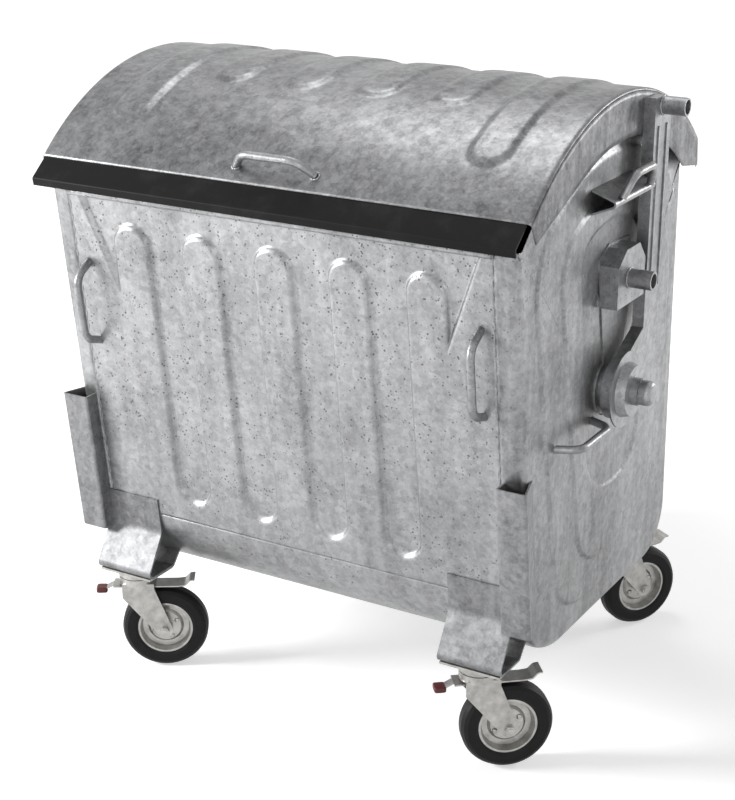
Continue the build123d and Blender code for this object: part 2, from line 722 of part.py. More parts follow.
def arm_outline(grow=0.0):
    """Lid arm in Y and Z: upright on the end plate, then angled to a round foot at the pivot."""
    rear = ARM_FRONT_Y + ARM_WIDTH
    radius = ARM_FOOT_RADIUS + grow
    foot = Pos(AXIS_Y, AXIS_Z) * Circle(radius)
    blade = polygon(
        (ARM_FRONT_Y - grow, ARM_TOP_Z + grow),
        (ARM_FRONT_Y - grow, ARM_BEND_Z - ARM_FRONT_KNEE),
        (AXIS_Y - radius * 0.78, AXIS_Z + radius * 0.62),
        (AXIS_Y + radius * 0.86, AXIS_Z - radius * 0.5),
        (rear + grow, ARM_BEND_Z - ARM_REAR_KNEE),
        (rear + grow, ARM_TOP_Z + grow),
    )
    tip_limit = Pos(AXIS_Y, AXIS_Z) * Circle(ARM_TIP_RADIUS + grow)
    return (blade + foot) & tip_limit


def make_lid_arm():
    """Right lid arm: a pressed channel, open towards the tub, with two beads on its face."""
    body = extrude(from_side(arm_outline(), END_PLATE_X), ARM_DEPTH)
    body -= extrude(from_side(arm_outline(-ARM_THICKNESS), END_PLATE_X), ARM_DEPTH - ARM_THICKNESS)
    for share in (0.25, 0.75):
        bead = Pos(ARM_FRONT_Y + share * ARM_WIDTH) * round_slot(
            BEAD_WIDTH, ARM_TOP_Z - BEAD_END_MARGIN, ARM_BEND_Z + BEAD_START
        )
        body += extrude(from_side(bead, ARM_FACE_X), BEAD_HEIGHT)
    boss_hole = Pos(AXIS_Y, AXIS_Z) * Circle(HUB_BOSS_RADIUS)
    return body - extrude(from_side(boss_hole, END_PLATE_X - 1), ARM_DEPTH + 2)


def make_lid_pin():
    """Right lid pin: a tube on the face of the lid arm."""
    y = ARM_FRONT_Y + ARM_WIDTH / 2
    return tube_along_x(LID_PIN_RADIUS, LID_PIN_WALL, ARM_FACE_X, LID_PIN_LENGTH, y, LID_PIN_Z)


def tail_lip_end():
    """Lower end of the short lip behind the roof."""
    y, z = dome_point(LID_RADIUS, LID_TAIL_ANGLE)
    return (y + LID_LIP_SPREAD, z - LID_LIP_DROP)


def roof_field(front_angle, radius_out, radius_in, width):
    """One pressed field of the roof, as a block between two radii."""
    front_y_plan = dome_point(LID_RADIUS, front_angle)[0] + (ROOF_FIELD_WIDTH - width) / 2
    rear_y_plan = dome_point(LID_RADIUS, FIELD_REAR_ANGLE)[0] - (ROOF_FIELD_WIDTH - width) / 2
    plan = round_slot(width, rear_y_plan, front_y_plan)
    block = extrude(Pos(0, 0, AXIS_Z) * plan, 2 * LID_RADIUS)
    ring = Pos(AXIS_Y, AXIS_Z) * (Circle(radius_out) - Circle(radius_in))
    return block & extrude(from_side(ring, -width), 2 * width)


def field_places():
    """X and front angle of each pressed field of the roof."""
    short = [(column * PITCH, SHORT_FIELD_FRONT_ANGLE) for column in (-1.5, -0.5, 0.5, 1.5)]
    return short + [(side * LONG_FIELD_X, LONG_FIELD_FRONT_ANGLE) for side in (-1, 1)]


def make_lid_roof():
    """Roof sheet of the lid, with its tail lip and six pressed fields."""
    front = dome_point(LID_RADIUS, LID_FRONT_ANGLE)
    tail = dome_point(LID_RADIUS, LID_TAIL_ANGLE)
    arc = ThreePointArc(front, dome_point(LID_RADIUS, 90), tail)
    lip = Line(tail, tail_lip_end())
    outline = Wire([arc, lip]).offset_2d(SHEET, kind=Kind.INTERSECTION, side=Side.RIGHT)
    roof = extrude(from_side(make_face(outline), -LID_WIDTH / 2), LID_WIDTH)
    for x, angle in field_places():
        roof += Pos(x) * roof_field(
            angle, LID_RADIUS + ROOF_PRESS_DEPTH, LID_RADIUS - SHEET / 2, ROOF_FIELD_WIDTH
        )
        roof -= Pos(x) * roof_field(
            angle,
            LID_RADIUS + ROOF_PRESS_DEPTH - SHEET,
            LID_RADIUS - 3 * SHEET,
            ROOF_FIELD_WIDTH - 2 * SHEET,
        )
    return roof


def make_lid_end_plate():
    """Right end plate of the lid, under the roof's edge."""
    outer = LID_RADIUS - SHEET
    front = dome_point(outer, LID_FRONT_ANGLE)
    tail = dome_point(outer, LID_TAIL_ANGLE + END_PLATE_TAIL_GAP_ANGLE)
    tip = (front[0] + END_PLATE_FRONT_SET, front[1] - END_PLATE_FRONT_DROP)
    lip_y, lip_z = tail_lip_end()
    inner_front = dome_point(END_PLATE_INNER_RADIUS, END_PLATE_FRONT_ANGLE)
    inner_tail = dome_point(END_PLATE_INNER_RADIUS, END_PLATE_TAIL_ANGLE)
    edges = [
        ThreePointArc(front, dome_point(outer, 90), tail),
        Line(tail, (lip_y - SHEET - BODY_GAP, lip_z)),
        Line((lip_y - SHEET - BODY_GAP, lip_z), inner_tail),
        ThreePointArc(inner_tail, dome_point(END_PLATE_INNER_RADIUS, 80), inner_front),
        Line(inner_front, tip),
        Line(tip, front),
    ]
    return extrude(from_side(make_face(edges), END_PLATE_X - SHEET), SHEET)


def make_lid_strip():
    """Dark strip under the lid's front edge: a leg on the roof, a slanted face and a lip."""
    inner = LID_RADIUS - SHEET
    start = dome_point(inner, LID_FRONT_ANGLE - STRIP_ROOF_ANGLE)
    edge_y, edge_z = dome_point(inner, LID_FRONT_ANGLE)
    nose = (edge_y - STRIP_REACH, edge_z - STRIP_FALL)
    section = bent_sheet(
        [start, (edge_y, edge_z), nose, (nose[0] + STRIP_NOSE_LEAN, nose[1] - STRIP_LIP)],
        [1.0, STRIP_NOSE_BEND],
        STRIP_THICKNESS,
    )
    return extrude(from_side(section, -STRIP_WIDTH / 2), STRIP_WIDTH)


def tub_envelope():
    """Block with the tub's side outline, which trims what is welded on from outside."""
    return extrude(from_side(side_outline(0), -SIDE_FACE_X), TUB_WIDTH)


def bracket_plate(side_sign, wall_y, swivel_y):
    """Caster bracket, untrimmed: a plate folded from the tub's wall out and under the caster.

    The sign is -1 for the front and 1 for the rear, and wall_y gives the wall's face at a height.
    """
    nose = swivel_y + side_sign * (TOP_PLATE_WIDTH / 2 + BRACKET_OVERHANG)
    back = swivel_y - side_sign * TOP_PLATE_WIDTH / 2
    points = [
        (wall_y(BRACKET_TOP_EDGE_Z) + side_sign * PLATE, BRACKET_TOP_EDGE_Z),
        (wall_y(BRACKET_FOLD_Z) + side_sign * PLATE, BRACKET_FOLD_Z),
        (nose, MOUNT_Z),
        (back, MOUNT_Z),
        (back - side_sign * BRACKET_LEG_RUN, MOUNT_Z + BRACKET_LEG_RISE),
    ]
    radii = [20.0, BRACKET_NOSE_BEND, 6.0]
    if side_sign > 0:
        points.reverse()
        radii.reverse()
    section = bent_sheet(points, radii, PLATE)
    return extrude(from_side(section, SWIVEL_X - BRACKET_WIDTH / 2), BRACKET_WIDTH)


def make_caster_bracket(side_sign, wall_y, swivel_y):
    """Right caster bracket, trimmed where it meets the tub."""
    bracket = bracket_plate(side_sign, wall_y, swivel_y) - tub_envelope() - make_floor_pan()
    return bracket.solids().sort_by(SortBy.VOLUME)[-1]


def place_caster(piece, name):
    """Put a piece, drawn at its swivel axis with its trail along X, at its caster."""
    x = SWIVEL_X if name.endswith("right") else -SWIVEL_X
    y = FRONT_SWIVEL_Y if name.startswith("front") else REAR_SWIVEL_Y
    return Pos(x, y, 0) * Rot(0, 0, HEADINGS[name]) * piece


def make_top_plate(x, y):
    """Fixed plate of one caster with the upper raceway and the kingpin."""
    plate = Pos(x, y, MOUNT_Z) * Box(
        TOP_PLATE_LENGTH,
        TOP_PLATE_WIDTH,
        TOP_PLATE_THICKNESS,
        align=(Align.CENTER, Align.CENTER, Align.MAX),
    )
    under = MOUNT_Z - TOP_PLATE_THICKNESS
    raceway = Pos(x, y, under) * Cylinder(
        RACEWAY_RADIUS, RACEWAY_HEIGHT, align=(Align.CENTER, Align.CENTER, Align.MAX)
    )
    raceway = fillet(raceway.edges().group_by(Axis.Z)[0], 4)
    pin = Pos(x, y, under) * Cylinder(
        KINGPIN_RADIUS, under - CROWN_BOTTOM_Z + 2, align=(Align.CENTER, Align.CENTER, Align.MAX)
    )
    return plate + raceway + pin


def crown_top_z():
    """Top of the fork's crown, a body gap under the raceway."""
    return MOUNT_Z - TOP_PLATE_THICKNESS - RACEWAY_HEIGHT - BODY_GAP


def make_fork():
    """Pressed fork: a crown on the kingpin and two legs that taper to the axle."""
    crown = Pos(0, 0, CROWN_BOTTOM_Z) * Cylinder(
        CROWN_RADIUS, crown_top_z() - CROWN_BOTTOM_Z, align=(Align.CENTER, Align.CENTER, Align.MIN)
    )
    leg_inner = TYRE_WIDTH / 2 + WHEEL_SIDE_GAP
    leg_outer = leg_inner + LEG_THICKNESS
    shelf = Pos(LEG_TOP_SHIFT, 0, CROWN_BOTTOM_Z) * Box(
        LEG_TOP_WIDTH, 2 * leg_outer, LEG_THICKNESS, align=(Align.CENTER, Align.CENTER, Align.MIN)
    )
    front = LEG_TOP_SHIFT - LEG_TOP_WIDTH / 2
    rear = LEG_TOP_SHIFT + LEG_TOP_WIDTH / 2
    blade = polygon(
        (front, CROWN_BOTTOM_Z + LEG_THICKNESS),
        (front, CROWN_BOTTOM_Z - LEG_FRONT_DROP),
        (TRAIL - LEG_TIP_RADIUS * 0.9, WHEEL_RADIUS - LEG_TIP_RADIUS * 0.45),
        (TRAIL + LEG_TIP_RADIUS, WHEEL_RADIUS + 3),
        (rear, CROWN_BOTTOM_Z - LEG_REAR_DROP),
        (rear, CROWN_BOTTOM_Z + LEG_THICKNESS),
    )
    tip = Pos(TRAIL, WHEEL_RADIUS) * Circle(LEG_TIP_RADIUS)
    axle_hole = Pos(TRAIL, WHEEL_RADIUS) * Circle(AXLE_RADIUS)
    brake_hole = Pos(BRAKE_PIVOT_X, BRAKE_PIVOT_Z) * Circle(BRAKE_PIN_RADIUS)
    leg_sketch = blade + tip - axle_hole - brake_hole
    upright = Plane(origin=(0, leg_outer, 0), x_dir=(1, 0, 0), z_dir=(0, -1, 0))
    leg = extrude(upright * leg_sketch, LEG_THICKNESS)
    legs = leg + mirror(leg, about=Plane.XZ)
    bore = Pos(0, 0, CROWN_BOTTOM_Z) * Cylinder(KINGPIN_RADIUS + BORE_CLEARANCE, 60)
    return crown + shelf + legs - bore


def make_axle_bolt():
    """Axle bolt through both legs, with its head and nut outside them."""
    leg_outer = TYRE_WIDTH / 2 + WHEEL_SIDE_GAP + LEG_THICKNESS
    across = Plane(origin=(TRAIL, 0, WHEEL_RADIUS), x_dir=(1, 0, 0), z_dir=(0, 1, 0))
    bolt = across * Cylinder(AXLE_RADIUS, 2 * (leg_outer + AXLE_END))
    for side in (-1, 1):
        head = extrude(RegularPolygon(AXLE_HEAD_RADIUS, 6), side * AXLE_HEAD_HEIGHT)
        bolt += across * (Pos(0, 0, side * leg_outer) * head)
    return bolt


def wheel_section(half):
    """Solid turned about the axle from one half of its profile, in radius and width."""
    profile = [(radius, -width) for radius, width in half]
    profile += [(radius, width) for radius, width in reversed(half)]
    plane = Plane(origin=(TRAIL, 0, WHEEL_RADIUS), x_dir=(0, 0, 1), z_dir=(1, 0, 0))
    return revolve(plane * polygon(*profile), Axis((TRAIL, 0, WHEEL_RADIUS), (0, 1, 0)))


def make_wheel_rim():
    """Pressed steel rim: hub tube, dished disc and rolled rim."""
    hub_half = TYRE_WIDTH / 2 + WHEEL_SIDE_GAP - 1
    rim_inner = RIM_RADIUS - RIM_WALL
    return wheel_section(
        [
            (AXLE_RADIUS + BORE_CLEARANCE, hub_half),
            (NAVE_RADIUS, hub_half),
            (NAVE_RADIUS + 2, 3 * DISC_HALF),
            (DISH_RADIUS, 2.5 * DISC_HALF),
            (DISH_RADIUS + 6, DISC_HALF),
            (rim_inner - RIM_WALL, DISC_HALF),
            (rim_inner, RIM_HALF_WIDTH),
            (RIM_RADIUS, RIM_HALF_WIDTH),
        ]
    )


def make_tyre():
    """Solid rubber tyre with rounded shoulders."""
    half = TYRE_WIDTH / 2
    return wheel_section(
        [
            (RIM_RADIUS, half - 3),
            (RIM_RADIUS + 6, half),
            (WHEEL_RADIUS - 12, half),
            (WHEEL_RADIUS - TYRE_SHOULDER, half - TYRE_SHOULDER),
            (WHEEL_RADIUS, half - 3 * TYRE_SHOULDER),
        ]
    )


def make_brake():
    """Brake rocker between the legs, with a lever in front and a curved pedal behind."""
    upright = Plane(origin=(0, BRAKE_WIDTH / 2, 0), x_dir=(1, 0, 0), z_dir=(0, -1, 0))
    low = BRAKE_PIVOT_Z - BRAKE_STRIP
    strip = extrude(
        upright
        * Pos((BRAKE_STRIP_REAR - BRAKE_STRIP_FRONT) / 2, low + BRAKE_STRIP / 2)
        * Rectangle(BRAKE_STRIP_FRONT + BRAKE_STRIP_REAR, BRAKE_STRIP),
        BRAKE_WIDTH,
    )
    pedal_start = BRAKE_STRIP_REAR - 1
    pedal_end = BRAKE_STRIP_REAR + PEDAL_LENGTH
    pedal_section = bent_sheet(
        [
            (pedal_start, low),
            (pedal_end - 22, low + 2),
            (pedal_end - 10, low + PEDAL_RISE),
            (pedal_end, low + PEDAL_RISE + 1),
        ],
        [10.0, 6.0],
        BRAKE_STRIP,
    )
    pedal = extrude(upright * pedal_section, BRAKE_WIDTH)
    lever_end = -BRAKE_STRIP_FRONT - LEVER_LENGTH
    lever_section = bent_sheet(
        [
            (lever_end, low - LEVER_DROP),
            (lever_end + 16, low - LEVER_DROP + 4),
            (1 - BRAKE_STRIP_FRONT, low),
        ],
        [8.0],
        BRAKE_STRIP,
    )
    lever = Pos(0, -BRAKE_WIDTH / 4, 0) * extrude(upright * lever_section, BRAKE_WIDTH / 2)
    pivot_length = TYRE_WIDTH + 2 * WHEEL_SIDE_GAP - 2 * BODY_GAP
    across = Plane(origin=(BRAKE_PIVOT_X, 0, BRAKE_PIVOT_Z), x_dir=(1, 0, 0), z_dir=(0, 1, 0))
    pin = across * Cylinder(
        BRAKE_PIN_RADIUS - BORE_CLEARANCE, pivot_length + 2 * LEG_THICKNESS
    )
    return strip + pedal + lever + pin


def build_parts():
    """Every node with its solids."""
    parts = {
        "front_wall": [make_front_wall()],
        "floor_pan": [make_floor_pan()],
        "rear_wall": [make_rear_wall()],
        "drain_plug": [make_drain_plug()],
        "lid_roof": [make_lid_roof()],
        "lid_strip": [make_lid_strip()],
        "lid_handle": [make_lid_handle()],
    }
    right_pieces = {
        "side_wall": make_side_wall(),
        "corner_socket": make_corner_socket(),
        "front_handle": make_front_handle(),
        "side_handle": make_side_handle(),
        "lid_stop": make_lid_stop(),
        "lid_stop_handle": make_lid_stop_handle(),
        "trunnion_plate": make_trunnion_plate(),
        "trunnion": make_trunnion(),
        "pivot_stub": make_pivot_stub(),
        "lid_end_plate": make_lid_end_plate(),
        "lid_arm": make_lid_arm(),
        "lid_hub": make_lid_hub(),
        "lid_pin": make_lid_pin(),
        "caster_bracket_front": make_caster_bracket(-1, front_y, FRONT_SWIVEL_Y),
        "caster_bracket_rear": make_caster_bracket(1, rear_y, REAR_SWIVEL_Y),
    }
    for name, piece in right_pieces.items():
        parts[name + "_right"] = [piece]
        parts[name + "_left"] = [mirrored(piece)]
    cap = make_pivot_cap()
    parts["pivot_caps"] = [cap, mirrored(cap)]
    parts["caster_plates"] = [
        make_top_plate(x, y)
        for x in (-SWIVEL_X, SWIVEL_X)
        for y in (FRONT_SWIVEL_Y, REAR_SWIVEL_Y)
    ]
    caster_pieces = {
        "fork": make_fork(),
        "axle_bolt": make_axle_bolt(),
        "wheel_rim": make_wheel_rim(),
        "tyre": make_tyre(),
        "brake": make_brake(),
    }
    for place in HEADINGS:
        for name, piece in caster_pieces.items():
            parts[name + "_" + place] = [place_caster(piece, place)]
    return parts


def write_parts(parts):
    """One STEP file for each node."""
    os.makedirs("parts", exist_ok=True)
    for name, solids in parts.items():
        flat = [solid for piece in solids for solid in piece.solids()]
        export_step(Compound(children=flat) if len(flat) > 1 else flat[0], f"parts/{name}.step")


write_parts(build_parts())
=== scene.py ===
import math

import bpy
import numpy as np
from mathutils import Euler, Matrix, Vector


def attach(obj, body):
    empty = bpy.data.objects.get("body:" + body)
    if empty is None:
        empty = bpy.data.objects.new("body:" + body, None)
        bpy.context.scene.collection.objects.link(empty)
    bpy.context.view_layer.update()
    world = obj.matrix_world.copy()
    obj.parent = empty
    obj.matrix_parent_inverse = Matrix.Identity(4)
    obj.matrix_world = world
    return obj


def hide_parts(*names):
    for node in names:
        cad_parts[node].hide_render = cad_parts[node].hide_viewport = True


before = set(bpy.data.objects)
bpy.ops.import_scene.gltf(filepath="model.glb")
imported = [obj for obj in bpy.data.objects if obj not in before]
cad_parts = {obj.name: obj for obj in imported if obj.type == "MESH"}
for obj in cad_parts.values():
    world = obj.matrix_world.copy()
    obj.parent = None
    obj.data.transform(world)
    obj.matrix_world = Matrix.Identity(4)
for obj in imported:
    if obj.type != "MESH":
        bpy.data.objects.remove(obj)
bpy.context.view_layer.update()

# Sizes in metres, the same as the solids'
SHEET = 0.002
AXIS_Y, AXIS_Z = -0.032, 0.775
RIM_Y, RIM_Z = -0.472, 1.165
FRONT_LEAN, REAR_LEAN = math.radians(7.3), math.radians(2.0)
REAR_RIM_Y = 0.364
FLOOR_Z, FRONT_BEND, REAR_BEND = 0.239, 0.185, 0.120
SEAM_X, SIDE_X, CORNER = 0.500, 0.550, 0.022
ARCH = 0.572
ROOF_RADIUS, ROOF_X = 0.625, 0.574
FRONT_ANGLE, TAIL_ANGLE = math.radians(134.0), math.radians(47.0)
LIP_DROP, LIP_SPREAD = 0.066, 0.003
PITCH, RAISED = 0.177, 0.085
PRESS = 0.0105
PANEL_TOP_HALF, PANEL_LOW_HALF, PANEL_DROP = 0.480, 0.3965, 0.222
FIELD_TOP, FIELD_BOTTOM, FIELD_FOOT = -0.072, -0.722, -0.95
LEVEL_HEIGHT = 0.0045
OUTER_LEVEL, MIDDLE_LEVEL, PIVOT_RECESS = 0.503, 0.420, 0.366
LID_END_INNER = 0.528
ROOF_FIELD, ROOF_FIELD_HEIGHT, OUTER_FIELD_X = 0.092, 0.006, 0.426
FIELD_FRONT, OUTER_FIELD_FRONT, FIELD_REAR = (math.radians(a) for a in (107.0, 123.0, 62.0))
ROLL_START, ROLL_SIZE = 0.568, 0.006
HANDLE_HALF, HANDLE_WELD = 0.0935, 0.0088
FITTING_FACE_X = 0.6005
SWIVEL_X, FRONT_SWIVEL_Y, REAR_SWIVEL_Y = 0.446, -0.375, 0.369
TRAIL, WHEEL_RADIUS = 0.062, 0.100
FRONT_HANDLE_X, FRONT_HANDLE_Z = 0.472, 0.910
SIDE_HANDLE_X, SIDE_HANDLE_Y, SIDE_HANDLE_Z = 0.5545, -0.183, 0.714
TRUNNION_Z, TRUNNION_WELD = 1.018, 0.0205
LID_PIN, LID_PIN_WELD = (0.103, 1.352), 0.0195
LID_HANDLE_ANGLE, LID_HANDLE_RADIUS = math.radians(130.3), 0.6245
PAD_BACK, PAD_HEIGHT, PAD_HALF = 0.083, 0.1945, (0.013, 0.015, 0.0065)
BOLT_CIRCLE, BOLT_SEAT, BOLT_HALF = 0.030, 0.0115, (0.0055, 0.0055, 0.003)


def smooth(x, low, high):
    """Smoothstep from 0 at low to 1 at high."""
    t = np.clip((x - low) / (high - low), 0.0, 1.0)
    return t * t * (3 - 2 * t)


def wobble(a, b, scale, seed):
    """Slow unevenness: a sum of a few sines of two coordinates in fixed directions, about -1 to 1."""
    rng = np.random.default_rng(seed)
    total = np.zeros(np.broadcast(a, b).shape)
    for octave in range(1, 5):
        turn, phase = rng.uniform(0, 2 * np.pi, 2)
        total += np.sin((a * np.cos(turn) + b * np.sin(turn)) * scale * octave**0.8 + phase) / octave
    return total / 2.1


def surface(name, points, loop=False, flip=False):
    """Mesh of a grid of points, n by m by 3, closed along its second direction where asked."""
    n, m = points.shape[:2]
    index = np.arange(n * m).reshape(n, m)
    if loop:
        index = np.concatenate([index, index[:, :1]], axis=1)
    quads = np.stack([index[:-1, :-1], index[1:, :-1], index[1:, 1:], index[:-1, 1:]], axis=-1)
    quads = quads.reshape(-1, 4)
    if flip:
        quads = quads[:, ::-1]
    mesh = bpy.data.meshes.new(name)
    mesh.from_pydata(points.reshape(-1, 3).tolist(), [], quads.tolist())
    mesh.polygons.foreach_set("use_smooth", np.ones(len(quads), dtype=bool))
    mesh.update()
    piece = bpy.data.objects.new(name, mesh)
    bpy.context.scene.collection.objects.link(piece)
    return piece


def joined(name, grids):
    """One mesh of several closed tubes or blobs, each a grid closed along its second direction."""
    verts, faces, start = [], [], 0
    for grid in grids:
        n, m = grid.shape[:2]
        index = np.arange(n * m).reshape(n, m) + start
        around = np.concatenate([index, index[:, :1]], axis=1)
        quads = np.stack([around[:-1, :-1], around[1:, :-1], around[1:, 1:], around[:-1, 1:]], axis=-1)
        verts.append(grid.reshape(-1, 3))
        faces += quads.reshape(-1, 4).tolist()
        faces += [index[0].tolist(), index[-1][::-1].tolist()]
        start += n * m
    mesh = bpy.data.meshes.new(name)
    mesh.from_pydata(np.concatenate(verts).tolist(), [], faces)
    mesh.polygons.foreach_set("use_smooth", np.ones(len(mesh.polygons), dtype=bool))
    mesh.validate()
    piece = bpy.data.objects.new(name, mesh)
    bpy.context.scene.collection.objects.link(piece)
    bpy.context.view_layer.objects.active = piece
    piece.select_set(True)
    bpy.ops.object.mode_set(mode="EDIT")
    bpy.ops.mesh.select_all(action="SELECT")
    bpy.ops.mesh.normals_make_consistent(inside=False)
    bpy.ops.object.mode_set(mode="OBJECT")
    piece.select_set(False)
    return piece


def thicken(piece, thickness=SHEET):
    """Gives a sheet its thickness on its inner side."""
    wall = piece.modifiers.new("thickness", "SOLIDIFY")
    wall.thickness = thickness
    wall.offset = -1.0
    wall.use_even_offset = False
    return piece


def resample(path, count):
    """Points at even steps along a polyline."""
    steps = np.linalg.norm(np.diff(path, axis=0), axis=1)
    reach = np.concatenate([[0], np.cumsum(steps)])
    at = np.linspace(0, reach[-1], count)
    return np.stack([np.interp(at, reach, path[:, k]) for k in range(path.shape[1])], axis=1)


def arc(centre, radius, start, end, count=40):
    """Points on an arc in the YZ plane between two angles, in radians from the rear."""
    turn = np.linspace(start, end, count)
    return np.stack([centre[0] + radius * np.cos(turn), centre[1] + radius * np.sin(turn)], axis=1)


def tube(path, radius, sides=12):
    """Round tube along a 3-D path: a circle in the plane square to the path at each point."""
    tangent = np.gradient(path, axis=0)
    tangent /= np.linalg.norm(tangent, axis=1, keepdims=True)
    guide = np.array([0.31, 0.52, 0.8]) if abs(tangent[0, 2]) < 0.9 else np.array([0.8, 0.5, 0.1])
    first = np.cross(tangent, guide)
    first /= np.linalg.norm(first, axis=1, keepdims=True)
    second = np.cross(tangent, first)
    turn = np.linspace(0, 2 * np.pi, sides, endpoint=False)
    ring = np.cos(turn)[None, :, None] * first[:, None] + np.sin(turn)[None, :, None] * second[:, None]
    return path[:, None] + np.asarray(radius).reshape(-1, 1, 1) * ring


def front_y(z):
    """Y of the front wall's outer face at a height."""
    return RIM_Y + (RIM_Z - z) * math.tan(FRONT_LEAN)


def rear_rim_z():
    """Height at which the rear wall meets the side walls' arch."""
    return AXIS_Z + math.sqrt(ARCH**2 - (REAR_RIM_Y - AXIS_Y) ** 2)


def rear_y(z):
    """Y of the rear wall's outer face at a height."""
    return REAR_RIM_Y + (rear_rim_z() - z) * math.tan(REAR_LEAN)


def front_bend():
    """Centre of the bend under the front wall, and the height where it starts."""
    start = FLOOR_Z + FRONT_BEND - FRONT_BEND * math.sin(FRONT_LEAN)
    return (front_y(start) + FRONT_BEND * math.cos(FRONT_LEAN), FLOOR_Z + FRONT_BEND), start


def rear_bend():
    """Centre of the bend under the rear wall, and the height where it starts."""
    start = FLOOR_Z + REAR_BEND + REAR_BEND * math.sin(REAR_LEAN)
    return (rear_y(start) - REAR_BEND * math.cos(REAR_LEAN), FLOOR_Z + REAR_BEND), start


def low_profile():
    """Y and Z from the start of the front bend along the floor to the end of the rear bend."""
    front, _ = front_bend()
    rear, _ = rear_bend()
    return np.concatenate([
        arc(front, FRONT_BEND, math.pi + FRONT_LEAN, 1.5 * math.pi),
        arc(rear, REAR_BEND, 1.5 * math.pi, 2 * math.pi + REAR_LEAN),
    ])


# Camera, at the photograph's place and angle
camera_data = bpy.data.cameras.new("camera")
camera = bpy.data.objects.new("camera", camera_data)
bpy.context.scene.collection.objects.link(camera)
camera.location = (1.89177, -3.29370, 2.03774)
camera.rotation_euler = Euler((math.pi / 2 - 0.355642, 0.0, 0.531276))
camera_data.sensor_width = 36.0
camera_data.lens = 79.05
camera_data.clip_end = 60.0
bpy.context.scene.camera = camera


# Sheet-metal pieces
def stadium(x, y, centre, width, top, bottom):
    """Signed distance to an upright slot with round ends, negative inside."""
    r = width / 2
    nearest = np.clip(y, bottom + r, top - r)
    return np.hypot(x - centre, y - nearest) - r


def front_recess(x, y):
    """Signed distance to the recess: a panel with slanted sides and four fingers, less five fields."""
    slope = math.atan2(PANEL_TOP_HALF - PANEL_LOW_HALF, PANEL_DROP)
    side = (np.abs(x) - PANEL_TOP_HALF - y * math.tan(slope)) * math.cos(slope)
    panel = np.maximum(side, -PANEL_DROP - y)
    fingers = [
        stadium(x, y, k * PITCH, PITCH - RAISED, FIELD_TOP, FIELD_BOTTOM)
        for k in (-1.5, -0.5, 0.5, 1.5)
    ]
    fields = [stadium(x, y, k * PITCH, RAISED, FIELD_TOP, FIELD_FOOT) for k in (-2, -1, 0, 1, 2)]
    recess = np.minimum(panel, np.minimum.reduce(fingers))
    return np.maximum(recess, -np.minimum.reduce(fields))


def front_wall():
    """Leaning sheet: X across, Y down the wall, pressed in by a smooth step of the recess's distance."""
    _, start = front_bend()
    length = (RIM_Z - start) / math.cos(FRONT_LEAN)
    x, y = np.meshgrid(np.linspace(-SEAM_X, SEAM_X, 322), np.linspace(0, -length, 142))
    edge = front_recess(x, y)
    depth = PRESS * (1 - smooth(edge, -0.0055, 0.0035))
    depth += 0.0012 * wobble(x, y, 9.0, 3) * smooth(0.5 - np.abs(x), 0, 0.08)
    depth = depth * smooth(0.5 - np.abs(x), -0.004, 0.012)
    points = np.stack([
        x,
        RIM_Y - y * math.sin(FRONT_LEAN) + depth * math.cos(FRONT_LEAN),
        RIM_Z + y * math.cos(FRONT_LEAN) + depth * math.sin(FRONT_LEAN),
    ], axis=-1)
    return thicken(surface("front_wall_sheet", points, flip=True))


def rim_bead():
    """Rolled rim along the top of the front wall: a flattened round profile carried along X."""
    turn = np.linspace(0, 2 * np.pi, 20, endpoint=False)
    x = np.linspace(-SEAM_X, SEAM_X, 60)
    out, up = 0.0055 * np.cos(turn), 0.0075 * np.sin(turn)
    sway = 0.0004 * np.sin(x * 31) + 0.0003 * np.sin(x * 83 + 1)
    ring = np.stack([
        np.broadcast_to(x[:, None], (60, 20)),
        RIM_Y - 0.001 - out[None] + sway[:, None],
        np.broadcast_to(RIM_Z - 0.0078 + up[None], (60, 20)),
    ], axis=-1)
    return joined("front_rim_bead", [ring])


def floor_pan():
    """Bottom sheet: the low profile carried straight across from seam to seam."""
    profile = resample(low_profile(), 150)
    x = np.linspace(-SEAM_X, SEAM_X, 60)
    points = np.zeros((150, 60, 3))
    points[..., 0] = x
    points[..., 1] = profile[:, :1]
    points[..., 2] = profile[:, 1:]
    return thicken(surface("floor_sheet", points))


def rear_wall():
    """Nearly upright sheet with five fields pressed out."""
    _, start = rear_bend()
    length = (rear_rim_z() - start) / math.cos(REAR_LEAN)
    x, y = np.meshgrid(np.linspace(-SEAM_X, SEAM_X, 180), np.linspace(0, -length, 120))
    fields = np.minimum.reduce([
        stadium(x, y, k * PITCH, RAISED, FIELD_TOP, FIELD_BOTTOM) for k in range(-2, 3)
    ])
    out = 0.006 * (1 - smooth(fields, -0.008, 0.006))
    points = np.stack([
        x,
        REAR_RIM_Y - y * math.sin(REAR_LEAN) + out * math.cos(REAR_LEAN),
        rear_rim_z() + y * math.cos(REAR_LEAN) + out * math.sin(REAR_LEAN),
    ], axis=-1)
    return thicken(surface("rear_wall_sheet", points))


def rounded_both(a, b, radius):
    """Distance to what lies inside both of two shapes, with their corner rounded."""
    p, q = a + radius, b + radius
    return np.hypot(np.maximum(p, 0), np.maximum(q, 0)) + np.minimum(np.maximum(p, q), 0) - radius


def half_plane(y, z, a, b):
    """Distance to the right of the line from a to b."""
    run, rise = b[0] - a[0], b[1] - a[1]
    size = math.hypot(run, rise)
    return ((y - a[0]) * rise - (z - a[1]) * run) / size


def level(y, z, foot, head, crown, rear, rounds):
    """Distance to a level: its front edge runs from foot to head, its crown is an arc about the axis.

    Its corners at the foot, the crown and the rear are rounded by the three radii in rounds.
    """
    edge = rounded_both(-half_plane(y, z, foot, head), foot[1] - z, rounds[0])
    edge = rounded_both(edge, np.hypot(y - AXIS_Y, z - AXIS_Z) - crown, rounds[1])
    return rounded_both(edge, y - rear, rounds[2])


